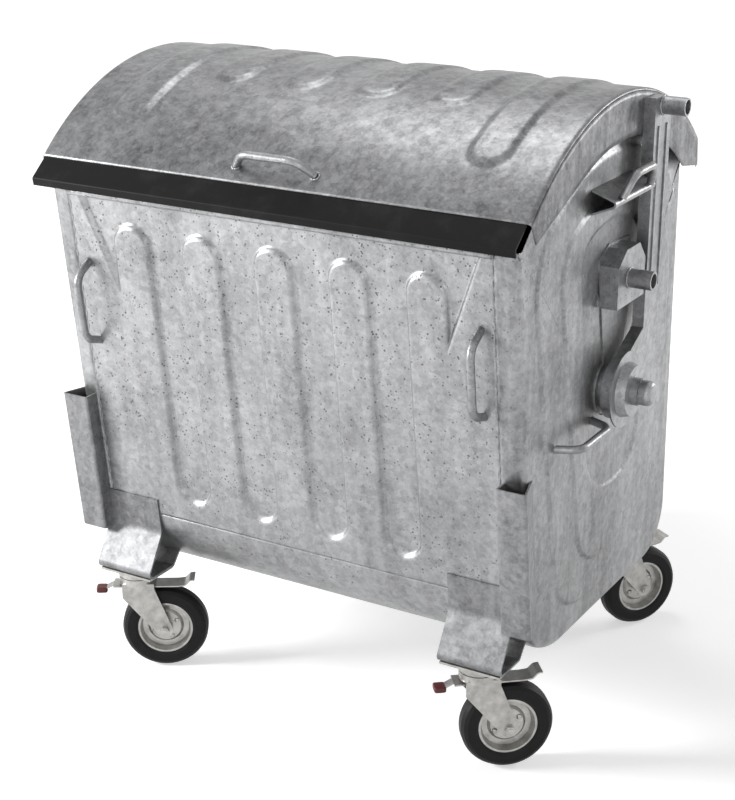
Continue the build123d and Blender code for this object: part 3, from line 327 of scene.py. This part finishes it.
def side_levels(y, z):
    """Height of a side wall's pressed levels over its base, as smooth steps of three outlines."""
    wall = rear_y(AXIS_Z)
    outer = level(y, z, (-0.222, 0.292), (-0.394, 1.103), OUTER_LEVEL, wall - 0.040,
                  (0.110, 0.075, 0.070))
    middle = level(y, z, (-0.126, 0.374), (-0.284, 1.083), MIDDLE_LEVEL, wall - 0.080,
                   (0.095, 0.070, 0.070))
    recess = level(y, z, (-0.107, 0.540), (-0.190, 1.095), PIVOT_RECESS, 0.155,
                   (0.110, 0.050, 0.110))
    inside = [1 - smooth(edge, -0.002, 0.004) for edge in (outer, middle, recess)]
    return LEVEL_HEIGHT * (inside[0] + inside[1] - inside[2])


def side_outline(count):
    """Closed outline of a side wall, and how far each point's edge is rounded over (0 on the arch)."""
    arch_front = AXIS_Y - math.sqrt(ARCH**2 - (RIM_Z - AXIS_Z) ** 2)
    angle_rear = math.atan2(rear_rim_z() - AXIS_Z, REAR_RIM_Y - AXIS_Y)
    angle_front = math.atan2(RIM_Z - AXIS_Z, arch_front - AXIS_Y)
    low = np.concatenate([[[RIM_Y, RIM_Z]], low_profile(), [[REAR_RIM_Y, rear_rim_z()]]])
    top = np.concatenate([arc((AXIS_Y, AXIS_Z), ARCH, angle_rear, angle_front), [[RIM_Y, RIM_Z]]])
    low = resample(low, int(count * 0.68) + 1)
    top = resample(top, count - len(low) + 2)
    path = np.concatenate([low, top[1:-1]])
    over = np.concatenate([np.ones(len(low)), np.zeros(len(top) - 2)])
    return path, over


def side_wall(name, side):
    """Drawn pan: rows run from the seam over the rounded edge, then shrink evenly to a point inside."""
    path, over = side_outline(366)
    ahead, behind = np.roll(path, -1, axis=0), np.roll(path, 1, axis=0)
    tangent = ahead - behind
    tangent /= np.linalg.norm(tangent, axis=1, keepdims=True)
    inward = np.stack([-tangent[:, 1], tangent[:, 0]], axis=1)
    turn = np.linspace(0, np.pi / 2, 9)
    inset = np.concatenate([[0.0, 0.0, 0.0], CORNER * (1 - np.cos(turn))])
    reach = np.concatenate([[SEAM_X, 0.51, 0.52], SIDE_X - CORNER + CORNER * np.sin(turn)])
    rows = []
    for k in range(len(inset)):
        yz = path + inward * (inset[k] * over + 0.0004 * k * (1 - over))[:, None]
        x = SIDE_X - over * (SIDE_X - reach[k])
        rows.append(np.column_stack([x, yz]))
    edge_row = rows[-1]
    centre = np.array([SIDE_X, AXIS_Y, 0.700])
    shares = np.concatenate([np.linspace(0, 0.82, 100)[1:], np.linspace(0.84, 0.995, 8)])
    for share in shares:
        row = edge_row + (centre - edge_row) * share
        row[:, 0] = SIDE_X + side_levels(row[:, 1], row[:, 2])
        row[:, 0] += 0.0010 * wobble(row[:, 1], row[:, 2], 8.0, 5) * smooth(share, 0.0, 0.2)
        rows.append(row)
    points = np.stack(rows)
    centre_ring = points[-1].copy()
    centre_ring[:] = centre_ring.mean(axis=0)
    points = np.concatenate([points, centre_ring[None]])
    points[..., 0] *= side
    return thicken(surface(name, points, loop=True, flip=side < 0))


def roof_fields(x, angle):
    """How far the roof is pressed out: six rounded fields that run over the top to the rear."""
    along = -angle * ROOF_RADIUS
    out = np.zeros_like(x)
    ends = [(k * PITCH, FIELD_FRONT) for k in (-1.5, -0.5, 0.5, 1.5)]
    ends += [(-OUTER_FIELD_X, OUTER_FIELD_FRONT), (OUTER_FIELD_X, OUTER_FIELD_FRONT)]
    for centre, front in ends:
        near, far = -front * ROOF_RADIUS, -FIELD_REAR * ROOF_RADIUS
        field = stadium(x, along, centre, ROOF_FIELD, far, near)
        out = np.maximum(out, ROOF_FIELD_HEIGHT * (1 - smooth(field, -0.013, 0.005)))
    return out


def lid_roof():
    """Roof sheet: an arc about the lid's axis and a straight lip, carried along X with rolled ends."""
    arc_rows, lip_rows = 136, 12
    angle = np.linspace(FRONT_ANGLE, TAIL_ANGLE, arc_rows)
    rolled = np.array([0.5712, 0.5730, 0.5738, ROOF_X])
    across = np.concatenate([-rolled[::-1], np.linspace(-ROLL_START, ROLL_START, 226), rolled])
    x, turn = np.meshgrid(across, angle)
    radius = ROOF_RADIUS + roof_fields(x, turn)
    # Shallow dent above the lid handle, then a slow unevenness, then the rolled ends
    dent = np.exp(-((x / 0.10) ** 2) - (((turn - math.radians(127.5)) * ROOF_RADIUS) / 0.020) ** 2)
    radius -= 0.0035 * dent * smooth(math.radians(131.2) - turn, 0, 0.02)
    radius -= 0.0009 + 0.0009 * wobble(x, turn * ROOF_RADIUS, 7.0, 11)
    roll = np.clip((np.abs(x) - ROLL_START) / ROLL_SIZE, 0, 1)
    radius -= ROLL_SIZE * (1 - np.sqrt(1 - roll**2))
    rows = np.stack([x, AXIS_Y + radius * np.cos(turn), AXIS_Z + radius * np.sin(turn)], axis=-1)
    share = np.linspace(0, 1, lip_rows + 1)[1:, None]
    lip = np.zeros((lip_rows, len(across), 3))
    lip[..., 0] = across
    lip[..., 1] = rows[-1][:, 1] + share * LIP_SPREAD
    lip[..., 2] = rows[-1][:, 2] - share * (LIP_DROP - 0.002)
    return thicken(surface("roof_sheet", np.concatenate([rows, lip]), flip=True))


def lid_end(name, side):
    """End sheet of the lid: ruled between the roof's edge and its own free inner edge."""
    hub = (AXIS_Y, AXIS_Z)
    outer_r, inner_r = ROOF_RADIUS - 0.0065, LID_END_INNER
    tail = arc(hub, outer_r, TAIL_ANGLE, TAIL_ANGLE, 1)[0]
    lip = np.array([tail[0] + 0.008, RIM_Z + 0.0015])
    front = arc(hub, outer_r, FRONT_ANGLE, FRONT_ANGLE, 1)[0]
    tip = front + np.array([0.020, -0.040])
    outer = np.concatenate([arc(hub, outer_r, FRONT_ANGLE, TAIL_ANGLE, 90), [lip]])
    inner = np.concatenate([
        [tip], arc(hub, inner_r, math.radians(113), math.radians(50.5), 60), [lip - [0.004, 0.0]]
    ])
    outer, inner = resample(outer, 190), resample(inner, 190)
    share = np.linspace(0, 1, 9)[:, None, None]
    yz = outer[None] + share * (inner - outer)[None]
    x = np.full(yz.shape[:2], ROOF_X - 0.0002)
    x = x + 0.0006 * wobble(yz[..., 0], yz[..., 1], 12.0, 8) - 0.0006
    points = np.concatenate([side * x[..., None], yz], axis=-1)
    return thicken(surface(name, points, flip=side > 0))


def seam_weld(name, side):
    """Weld along the front seam: a thin uneven tube down the wall's edge and round the bend."""
    _, start = front_bend()
    wall = np.array([[RIM_Y, RIM_Z - 0.002], [front_y(start), start]])
    profile = np.concatenate([wall, low_profile()[1:]])
    profile = resample(profile, 420)[:410]
    s = np.arange(len(profile))
    path = np.column_stack([side * (SEAM_X + 0.0006 * np.sin(s * 0.23)), profile])
    return joined(name, [tube(path, 0.0026 + 0.0006 * np.sin(s * 0.9), 8)])


def weld_ring(centre, normal, radius, bead=0.0024):
    """Uneven ring of weld round a foot: a torus about the normal."""
    normal = np.array(normal, float) / np.linalg.norm(normal)
    side_a = np.cross(normal, [0.3, 0.5, 0.81])
    side_a /= np.linalg.norm(side_a)
    side_b = np.cross(normal, side_a)
    turn = np.linspace(0, 2 * np.pi, 41)
    out = np.cos(turn)[:, None] * side_a + np.sin(turn)[:, None] * side_b
    path = np.array(centre) + radius * out
    around = np.linspace(0, 2 * np.pi, 9)[:-1]
    size = bead * (1 + 0.15 * np.sin(turn * 9))
    return path[:, None] + size[:, None, None] * (
        np.cos(around)[None, :, None] * out[:, None] + np.sin(around)[None, :, None] * normal
    )


def signed_power(value, power):
    """Power of a value's size, with its sign kept."""
    return np.sign(value) * np.abs(value) ** power


def blob(centre, half, axes, sharp=0.35, rows=16, columns=28):
    """Rounded block: a superellipsoid with half sizes along three given axes."""
    v = np.linspace(-np.pi / 2 + 0.02, np.pi / 2 - 0.02, rows)[:, None]
    u = np.linspace(0, 2 * np.pi, columns, endpoint=False)[None]
    level_size = signed_power(np.cos(v), sharp)
    a = level_size * signed_power(np.cos(u), sharp) * half[0]
    b = level_size * signed_power(np.sin(u), sharp) * half[1]
    c = np.broadcast_to(signed_power(np.sin(v), sharp) * half[2], a.shape)
    local = np.stack([a, b, c], axis=-1)
    return np.array(centre) + local @ np.array(axes, float)


class Signal:
    """A node's output that Python arithmetic can work on."""

    def __init__(self, finish, socket):
        self.finish, self.socket = finish, socket

    def _math(self, operation, a, b):
        return self.finish.node("Math", {"operation": operation}, {0: a, 1: b})

    def __add__(self, other):
        return self._math("ADD", self, other)

    def __sub__(self, other):
        return self._math("SUBTRACT", self, other)

    def __mul__(self, other):
        return self._math("MULTIPLY", self, other)


class Finish:
    """A node material under construction."""

    def __init__(self, name):
        self.material = bpy.data.materials.new(name)
        self.material.use_nodes = True
        self.tree = self.material.node_tree
        self.tree.nodes.clear()
        self.place = self.node("TexCoord", {}, {}, out="Object")

    def node(self, kind, settings, sockets, out=0):
        """Adds a node: its settings first, then the values or links of its sockets."""
        item = self.tree.nodes.new("ShaderNode" + kind)
        for key, value in settings.items():
            setattr(item, key, value)
        for key, value in sockets.items():
            if isinstance(value, Signal):
                self.tree.links.new(value.socket, item.inputs[key])
            else:
                item.inputs[key].default_value = value
        return Signal(self, item.outputs[out]) if len(item.outputs) else item

    def noise(self, scale, detail=4.0, rough=0.55, place=None, distort=0.0):
        """Factor of a noise texture, with about scale waves to a metre."""
        return self.node("TexNoise", {}, {
            "Vector": place or self.place, "Scale": scale, "Detail": detail, "Roughness": rough,
            "Distortion": distort,
        }, out="Fac")

    def stretched(self, sizes):
        """The object's coordinates, each multiplied by its own size."""
        return self.node("Mapping", {}, {"Vector": self.place, "Scale": sizes})

    def step(self, value, low, high):
        """Smoothstep of a value, from 0 at low to 1 at high."""
        return self.node("MapRange", {"interpolation_type": "SMOOTHSTEP", "clamp": True}, {
            "Value": value, "From Min": low, "From Max": high,
        })

    def blend(self, share, first, second):
        """Colour between two colours, by a share that is kept within 0 and 1."""
        settings = {"data_type": "RGBA", "clamp_factor": True}
        return self.node("Mix", settings, {0: share, 6: first, 7: second}, out=2)

    def axis(self, name):
        """One of the object's coordinates, X, Y or Z."""
        return self.node("SeparateXYZ", {}, {0: self.place}, out=name)

    def done(self, colour, rough, metal, height=None, depth=0.001, strength=0.5, constants=None):
        """Closes the material with a Principled shader, bump on its normal."""
        sockets = {"Base Color": colour, "Roughness": rough, "Metallic": metal}
        sockets.update(constants or {})
        if height is not None:
            sockets["Normal"] = self.node("Bump", {}, {
                "Strength": strength, "Distance": depth, "Height": height,
            })
        shader = self.node("BsdfPrincipled", {}, sockets)
        self.node("OutputMaterial", {}, {"Surface": shader})
        return self.material


def galvanised(name, tone_and_shade=0.5, pits=0.0, streaks=0.0, rough=0.40, metal=0.80):
    """Hot-dip zinc: cloudy mottling, faint crystals, runs and small dark pits, from noise in metres; its
    overall grey is set per surface, and a surface set darker carries painted shade in it.
    """
    f = Finish(name)
    cloud = f.noise(3.2, 3.0, 0.5, distort=0.4)
    mottle = f.noise(34.0, 7.0, 0.72, distort=0.4)
    grain = f.noise(150.0, 3.0, 0.6)
    cell = f.node("TexVoronoi", {"feature": "F1"}, {"Vector": f.place, "Scale": 85.0}, out="Color")
    crystal = f.node("SeparateColor", {}, {0: cell}, out=0)
    runs = f.noise(1.0, 4.0, 0.6, place=f.stretched((26.0, 26.0, 2.4)))
    light = (cloud - 0.5) * 0.35 + (mottle - 0.5) * 0.44
    light = light + (crystal - 0.5) * 0.12 + (grain - 0.5) * 0.30
    # The overall grey is added here: where a surface is set darker than the front wall, this is painted
    # shade.
    light = light + (runs - 0.5) * (0.25 + streaks) + tone_and_shade
    spot = f.node("TexVoronoi", {"feature": "F1"}, {
        "Vector": f.place, "Scale": 125.0, "Randomness": 1.0,
    }, out="Distance")
    region = f.noise(9.0, 3.0, 0.6) + f.axis("Z") * 0.28
    patch = f.step(region, 0.80 - 0.25 * pits, 0.98 - 0.25 * pits)
    rare = f.step(f.noise(75.0, 2.0, 0.5), 0.50, 0.60)
    pit = f.step(spot, 0.36, 0.22) * patch * rare * min(pits, 1.0)
    colour = f.blend(light, (0.05, 0.051, 0.054, 1), (0.62, 0.625, 0.635, 1))
    colour = f.blend(pit * 0.85, colour, (0.10, 0.098, 0.095, 1))
    roughness = (mottle - 0.5) * -0.12 + (grain - 0.5) * 0.14 + rough + pit * 0.2
    height = mottle * 0.3 + grain * 0.12 + cloud * 0.4 - pit * 0.8
    return f.done(colour, roughness, metal, height, depth=0.0020, strength=0.24)


def zinc_plate(name):
    """Bright zinc plating on the casters' pressings, slightly warm, with fine scuffs."""
    f = Finish(name)
    mottle, fine = f.noise(45.0, 4.0, 0.6), f.noise(320.0, 2.0, 0.5)
    colour = f.blend(mottle * 1.3 - 0.15, (0.22, 0.217, 0.21, 1), (0.62, 0.61, 0.585, 1))
    rough = (mottle - 0.5) * 0.3 + (fine - 0.5) * 0.1 + 0.36
    return f.done(colour, rough, 0.85, mottle * 0.4 + fine * 0.2, depth=0.0006, strength=0.3)


def black_strip(name):
    """Matt black strip with dust and rubbed edges."""
    f = Finish(name)
    dust, fine = f.noise(14.0, 5.0, 0.65), f.noise(420.0, 2.0, 0.5)
    dusty = f.step(dust, 0.45, 0.8) * 0.5 + fine * 0.12
    colour = f.blend(dusty, (0.004, 0.004, 0.0045, 1), (0.035, 0.034, 0.033, 1))
    return f.done(colour, (dust - 0.5) * 0.25 + 0.50, 0.0, fine, depth=0.0003, strength=0.25,
                  constants={"Specular IOR Level": 0.12})


def tyre_rubber(name):
    """Solid rubber, near black, greyed a little where it has rolled."""
    f = Finish(name)
    wear, fine = f.noise(26.0, 4.0, 0.6), f.noise(500.0, 2.0, 0.5)
    worn = wear * 0.8 + fine * 0.15 - 0.1
    colour = f.blend(worn, (0.006, 0.006, 0.0065, 1), (0.030, 0.029, 0.028, 1))
    return f.done(colour, (wear - 0.5) * 0.2 + 0.48, 0.0, fine * 0.6 + wear, depth=0.0005, strength=0.35,
                  constants={"Specular IOR Level": 0.15})


def red_cap(name):
    """Dark red moulded pads of the brake levers, scuffed."""
    f = Finish(name)
    scuff = f.noise(60.0, 4.0, 0.6)
    colour = f.blend(f.step(scuff, 0.5, 0.75) * 0.6, (0.10, 0.012, 0.011, 1), (0.05, 0.028, 0.025, 1))
    return f.done(colour, (scuff - 0.5) * 0.3 + 0.45, 0.0, scuff, depth=0.0004, strength=0.3)


# Copies of one zinc whose greys differ as painted shade: the side walls, roof, brackets and lid ends are
# set darker than the front wall and fittings to stand for how dark they fall under light.
SHEET_FRONT = galvanised("zinc_front_wall", tone_and_shade=0.46, pits=1.0, streaks=0.16)
SHEET_ROOF_SHADED = galvanised("zinc_roof_shaded", tone_and_shade=0.27, pits=0.35, streaks=0.12, rough=0.38)
SHEET_SIDE_SHADED = galvanised("zinc_side_walls_shaded", tone_and_shade=0.39, pits=0.55, streaks=0.30, rough=0.42)
SHEET_END_SHADED = galvanised("zinc_lid_ends_shaded", tone_and_shade=0.22, pits=0.3, streaks=0.35, rough=0.44)
BRACKETS_SHADED = galvanised("zinc_brackets_shaded", tone_and_shade=0.30, pits=0.5, streaks=0.15, rough=0.56)
FITTINGS = galvanised("zinc_fittings", tone_and_shade=0.42, pits=0.6, streaks=0.15, rough=0.42)
PLATING = zinc_plate("zinc_casters")
STRIP = black_strip("black_strip")
RUBBER = tyre_rubber("tyre_rubber")
RED = red_cap("brake_lever_red")

for node_name, node_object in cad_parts.items():
    if node_name.startswith("tyre_"):
        chosen = RUBBER
    elif node_name == "lid_strip":
        chosen = STRIP
    elif node_name.startswith(("fork_", "axle_", "wheel_rim_", "brake_", "caster_plates")):
        chosen = PLATING
    elif node_name.startswith(("caster_bracket_", "corner_socket_")):
        chosen = BRACKETS_SHADED
    else:
        chosen = FITTINGS
    for material_slot in node_object.material_slots:
        material_slot.material = chosen


def place(piece, body, material, slot, *nodes):
    """Gives a piece its finish, its body, and the nodes that it stands for."""
    piece.data.materials.clear()
    piece.data.materials.append(material)
    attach(piece, body)
    if nodes:
        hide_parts(*nodes)
    return piece


place(front_wall(), "tub", SHEET_FRONT, "galvanised", "front_wall")
place(rim_bead(), "tub", SHEET_FRONT, "galvanised")
place(floor_pan(), "tub", SHEET_FRONT, "galvanised", "floor_pan")
place(rear_wall(), "tub", SHEET_FRONT, "galvanised", "rear_wall")
place(side_wall("side_sheet_right", 1), "tub", SHEET_SIDE_SHADED, "galvanised", "side_wall_right")
place(side_wall("side_sheet_left", -1), "tub", SHEET_SIDE_SHADED, "galvanised", "side_wall_left")
place(lid_roof(), "lid", SHEET_ROOF_SHADED, "galvanised", "lid_roof")
place(lid_end("lid_end_sheet_right", 1), "lid", SHEET_END_SHADED, "galvanised", "lid_end_plate_right")
place(lid_end("lid_end_sheet_left", -1), "lid", SHEET_END_SHADED, "galvanised", "lid_end_plate_left")
place(seam_weld("seam_weld_right", 1), "tub", FITTINGS, "galvanised")
place(seam_weld("seam_weld_left", -1), "tub", FITTINGS, "galvanised")


def fitting_welds():
    """Weld rings round the feet of the tub's handles and trunnions."""
    rings = []
    lean = (0, -math.cos(FRONT_LEAN), -math.sin(FRONT_LEAN))
    for side in (-1, 1):
        for shift in (-HANDLE_HALF, HANDLE_HALF):
            z = FRONT_HANDLE_Z + shift * math.cos(FRONT_LEAN)
            rings.append(weld_ring((side * FRONT_HANDLE_X, front_y(z), z), lean, HANDLE_WELD))
            foot = (side * SIDE_HANDLE_X, SIDE_HANDLE_Y + shift, SIDE_HANDLE_Z)
            rings.append(weld_ring(foot, (side, 0, 0), HANDLE_WELD))
        foot = (side * FITTING_FACE_X, AXIS_Y, TRUNNION_Z)
        rings.append(weld_ring(foot, (side, 0, 0), TRUNNION_WELD))
    return joined("fitting_welds", rings)


def lid_welds():
    """Weld rings round the feet of the lid's handle and its pins."""
    normal = (0, math.cos(LID_HANDLE_ANGLE), math.sin(LID_HANDLE_ANGLE))
    foot = (AXIS_Y + LID_HANDLE_RADIUS * normal[1], AXIS_Z + LID_HANDLE_RADIUS * normal[2])
    rings = [weld_ring((x, *foot), normal, HANDLE_WELD) for x in (-HANDLE_HALF, HANDLE_HALF)]
    for side in (-1, 1):
        rings.append(weld_ring((side * FITTING_FACE_X, *LID_PIN), (side, 0, 0), LID_PIN_WELD))
    return joined("lid_welds", rings)


place(fitting_welds(), "tub", FITTINGS, "galvanised")
place(lid_welds(), "lid", FITTINGS, "galvanised")

def caster_extras(corner, heading):
    """Red pad on a caster's brake lever, and the bolts on both faces of its wheel."""
    centre_x = SWIVEL_X if corner.endswith("right") else -SWIVEL_X
    centre_y = FRONT_SWIVEL_Y if corner.startswith("front") else REAR_SWIVEL_Y
    turn = math.radians(heading)
    ahead = np.array([math.cos(turn), math.sin(turn), 0.0])
    beside = np.array([-math.sin(turn), math.cos(turn), 0.0])
    up = np.array([0.0, 0.0, 1.0])
    swivel = np.array([centre_x, centre_y, 0.0])
    tip = swivel - PAD_BACK * ahead + PAD_HEIGHT * up
    pad = joined("brake_pad_" + corner, [blob(tip, PAD_HALF, (ahead, beside, up))])
    place(pad, "brake_" + corner, RED, "caster_zinc")
    hub = swivel + TRAIL * ahead + WHEEL_RADIUS * up
    bolts = []
    for k in range(4):
        spin = k * math.pi / 2 + 0.5
        out = math.cos(spin) * ahead + math.sin(spin) * up
        for face in (-1, 1):
            seat = hub + BOLT_CIRCLE * out + face * BOLT_SEAT * beside
            bolts.append(blob(seat, BOLT_HALF, (ahead, up, beside), 0.6, 8, 12))
    place(joined("wheel_bolts_" + corner, bolts), "wheel_" + corner, PLATING, "caster_zinc")


# Headings in degrees, as in the photograph; the rear left caster is hidden there
HEADINGS = {"front_left": 32.0, "front_right": 40.0, "rear_left": 45.0, "rear_right": 56.0}
for corner_name, corner_heading in HEADINGS.items():
    caster_extras(corner_name, corner_heading)


# Floor, background and lights
def stage_floor():
    """Large pale floor that keeps the object's shadow."""
    points = np.zeros((2, 2, 3))
    points[..., 0] = [[-30, 30], [-30, 30]]
    points[..., 1] = [[-30, -30], [30, 30]]
    floor = surface("floor", points, flip=True)
    f = Finish("floor_white")
    pale = f.node("BsdfDiffuse", {}, {"Color": (0.80, 0.80, 0.80, 1)})
    seen = f.node("LightPath", {}, {}, out="Is Camera Ray")
    mirrored = f.node("LightPath", {}, {}, out="Is Glossy Ray")
    through = f.node("LightPath", {}, {}, out="Is Transmission Ray")
    away = f.node("VectorMath", {"operation": "LENGTH"}, {0: f.place}, out="Value")
    shade = f.blend(f.step(away, 0.9, 2.4), (0.55, 0.55, 0.55, 1), (1, 1, 1, 1))
    glow = f.node("Emission", {}, {"Color": shade, "Strength": seen + mirrored + through})
    both = f.node("AddShader", {}, {0: pale, 1: glow})
    f.node("OutputMaterial", {}, {"Surface": both})
    floor.data.materials.append(f.material)


def studio_world():
    """White surroundings as seen by the camera and in reflections, dimmer as light."""
    world = bpy.data.worlds.new("studio")
    bpy.context.scene.world = world
    world.use_nodes = True
    tree = world.node_tree
    tree.nodes.clear()
    path = tree.nodes.new("ShaderNodeLightPath")
    seen = tree.nodes.new("ShaderNodeMath")
    seen.operation = "MAXIMUM"
    tree.links.new(path.outputs["Is Camera Ray"], seen.inputs[0])
    tree.links.new(path.outputs["Is Glossy Ray"], seen.inputs[1])
    clear = tree.nodes.new("ShaderNodeMath")
    clear.operation = "MAXIMUM"
    tree.links.new(seen.outputs[0], clear.inputs[0])
    tree.links.new(path.outputs["Is Transmission Ray"], clear.inputs[1])
    strength = tree.nodes.new("ShaderNodeMapRange")
    tree.links.new(clear.outputs[0], strength.inputs["Value"])
    strength.inputs["To Min"].default_value = 0.14
    strength.inputs["To Max"].default_value = 1.0
    back = tree.nodes.new("ShaderNodeBackground")
    tree.links.new(strength.outputs[0], back.inputs["Strength"])
    back.inputs["Color"].default_value = (1, 1, 1, 1)
    out = tree.nodes.new("ShaderNodeOutputWorld")
    tree.links.new(back.outputs[0], out.inputs["Surface"])


def lamp(name, place_at, aim, size, power):
    """Soft square lamp aimed at a point."""
    data = bpy.data.lights.new(name, "AREA")
    data.size, data.energy = size, power
    item = bpy.data.objects.new(name, data)
    item.location = place_at
    item.rotation_euler = (Vector(aim) - Vector(place_at)).to_track_quat("-Z", "Y").to_euler()
    bpy.context.scene.collection.objects.link(item)


stage_floor()
studio_world()
lamp("key", (-3.9, -3.0, 2.3), (0.1, -0.3, 0.8), 1.2, 300.0)
lamp("top", (-0.7, 0.75, 3.8), (0.50, -0.38, 1.3), 1.3, 24.0)
lamp("side", (2.5, 3.2, 1.6), (0.55, 0, 0.8), 0.9, 46.0)
lamp("fill", (2.8, -3.9, 1.8), (0.5, 0, 0.8), 1.2, 26.0)
bpy.context.scene.view_settings.view_transform = "Standard"
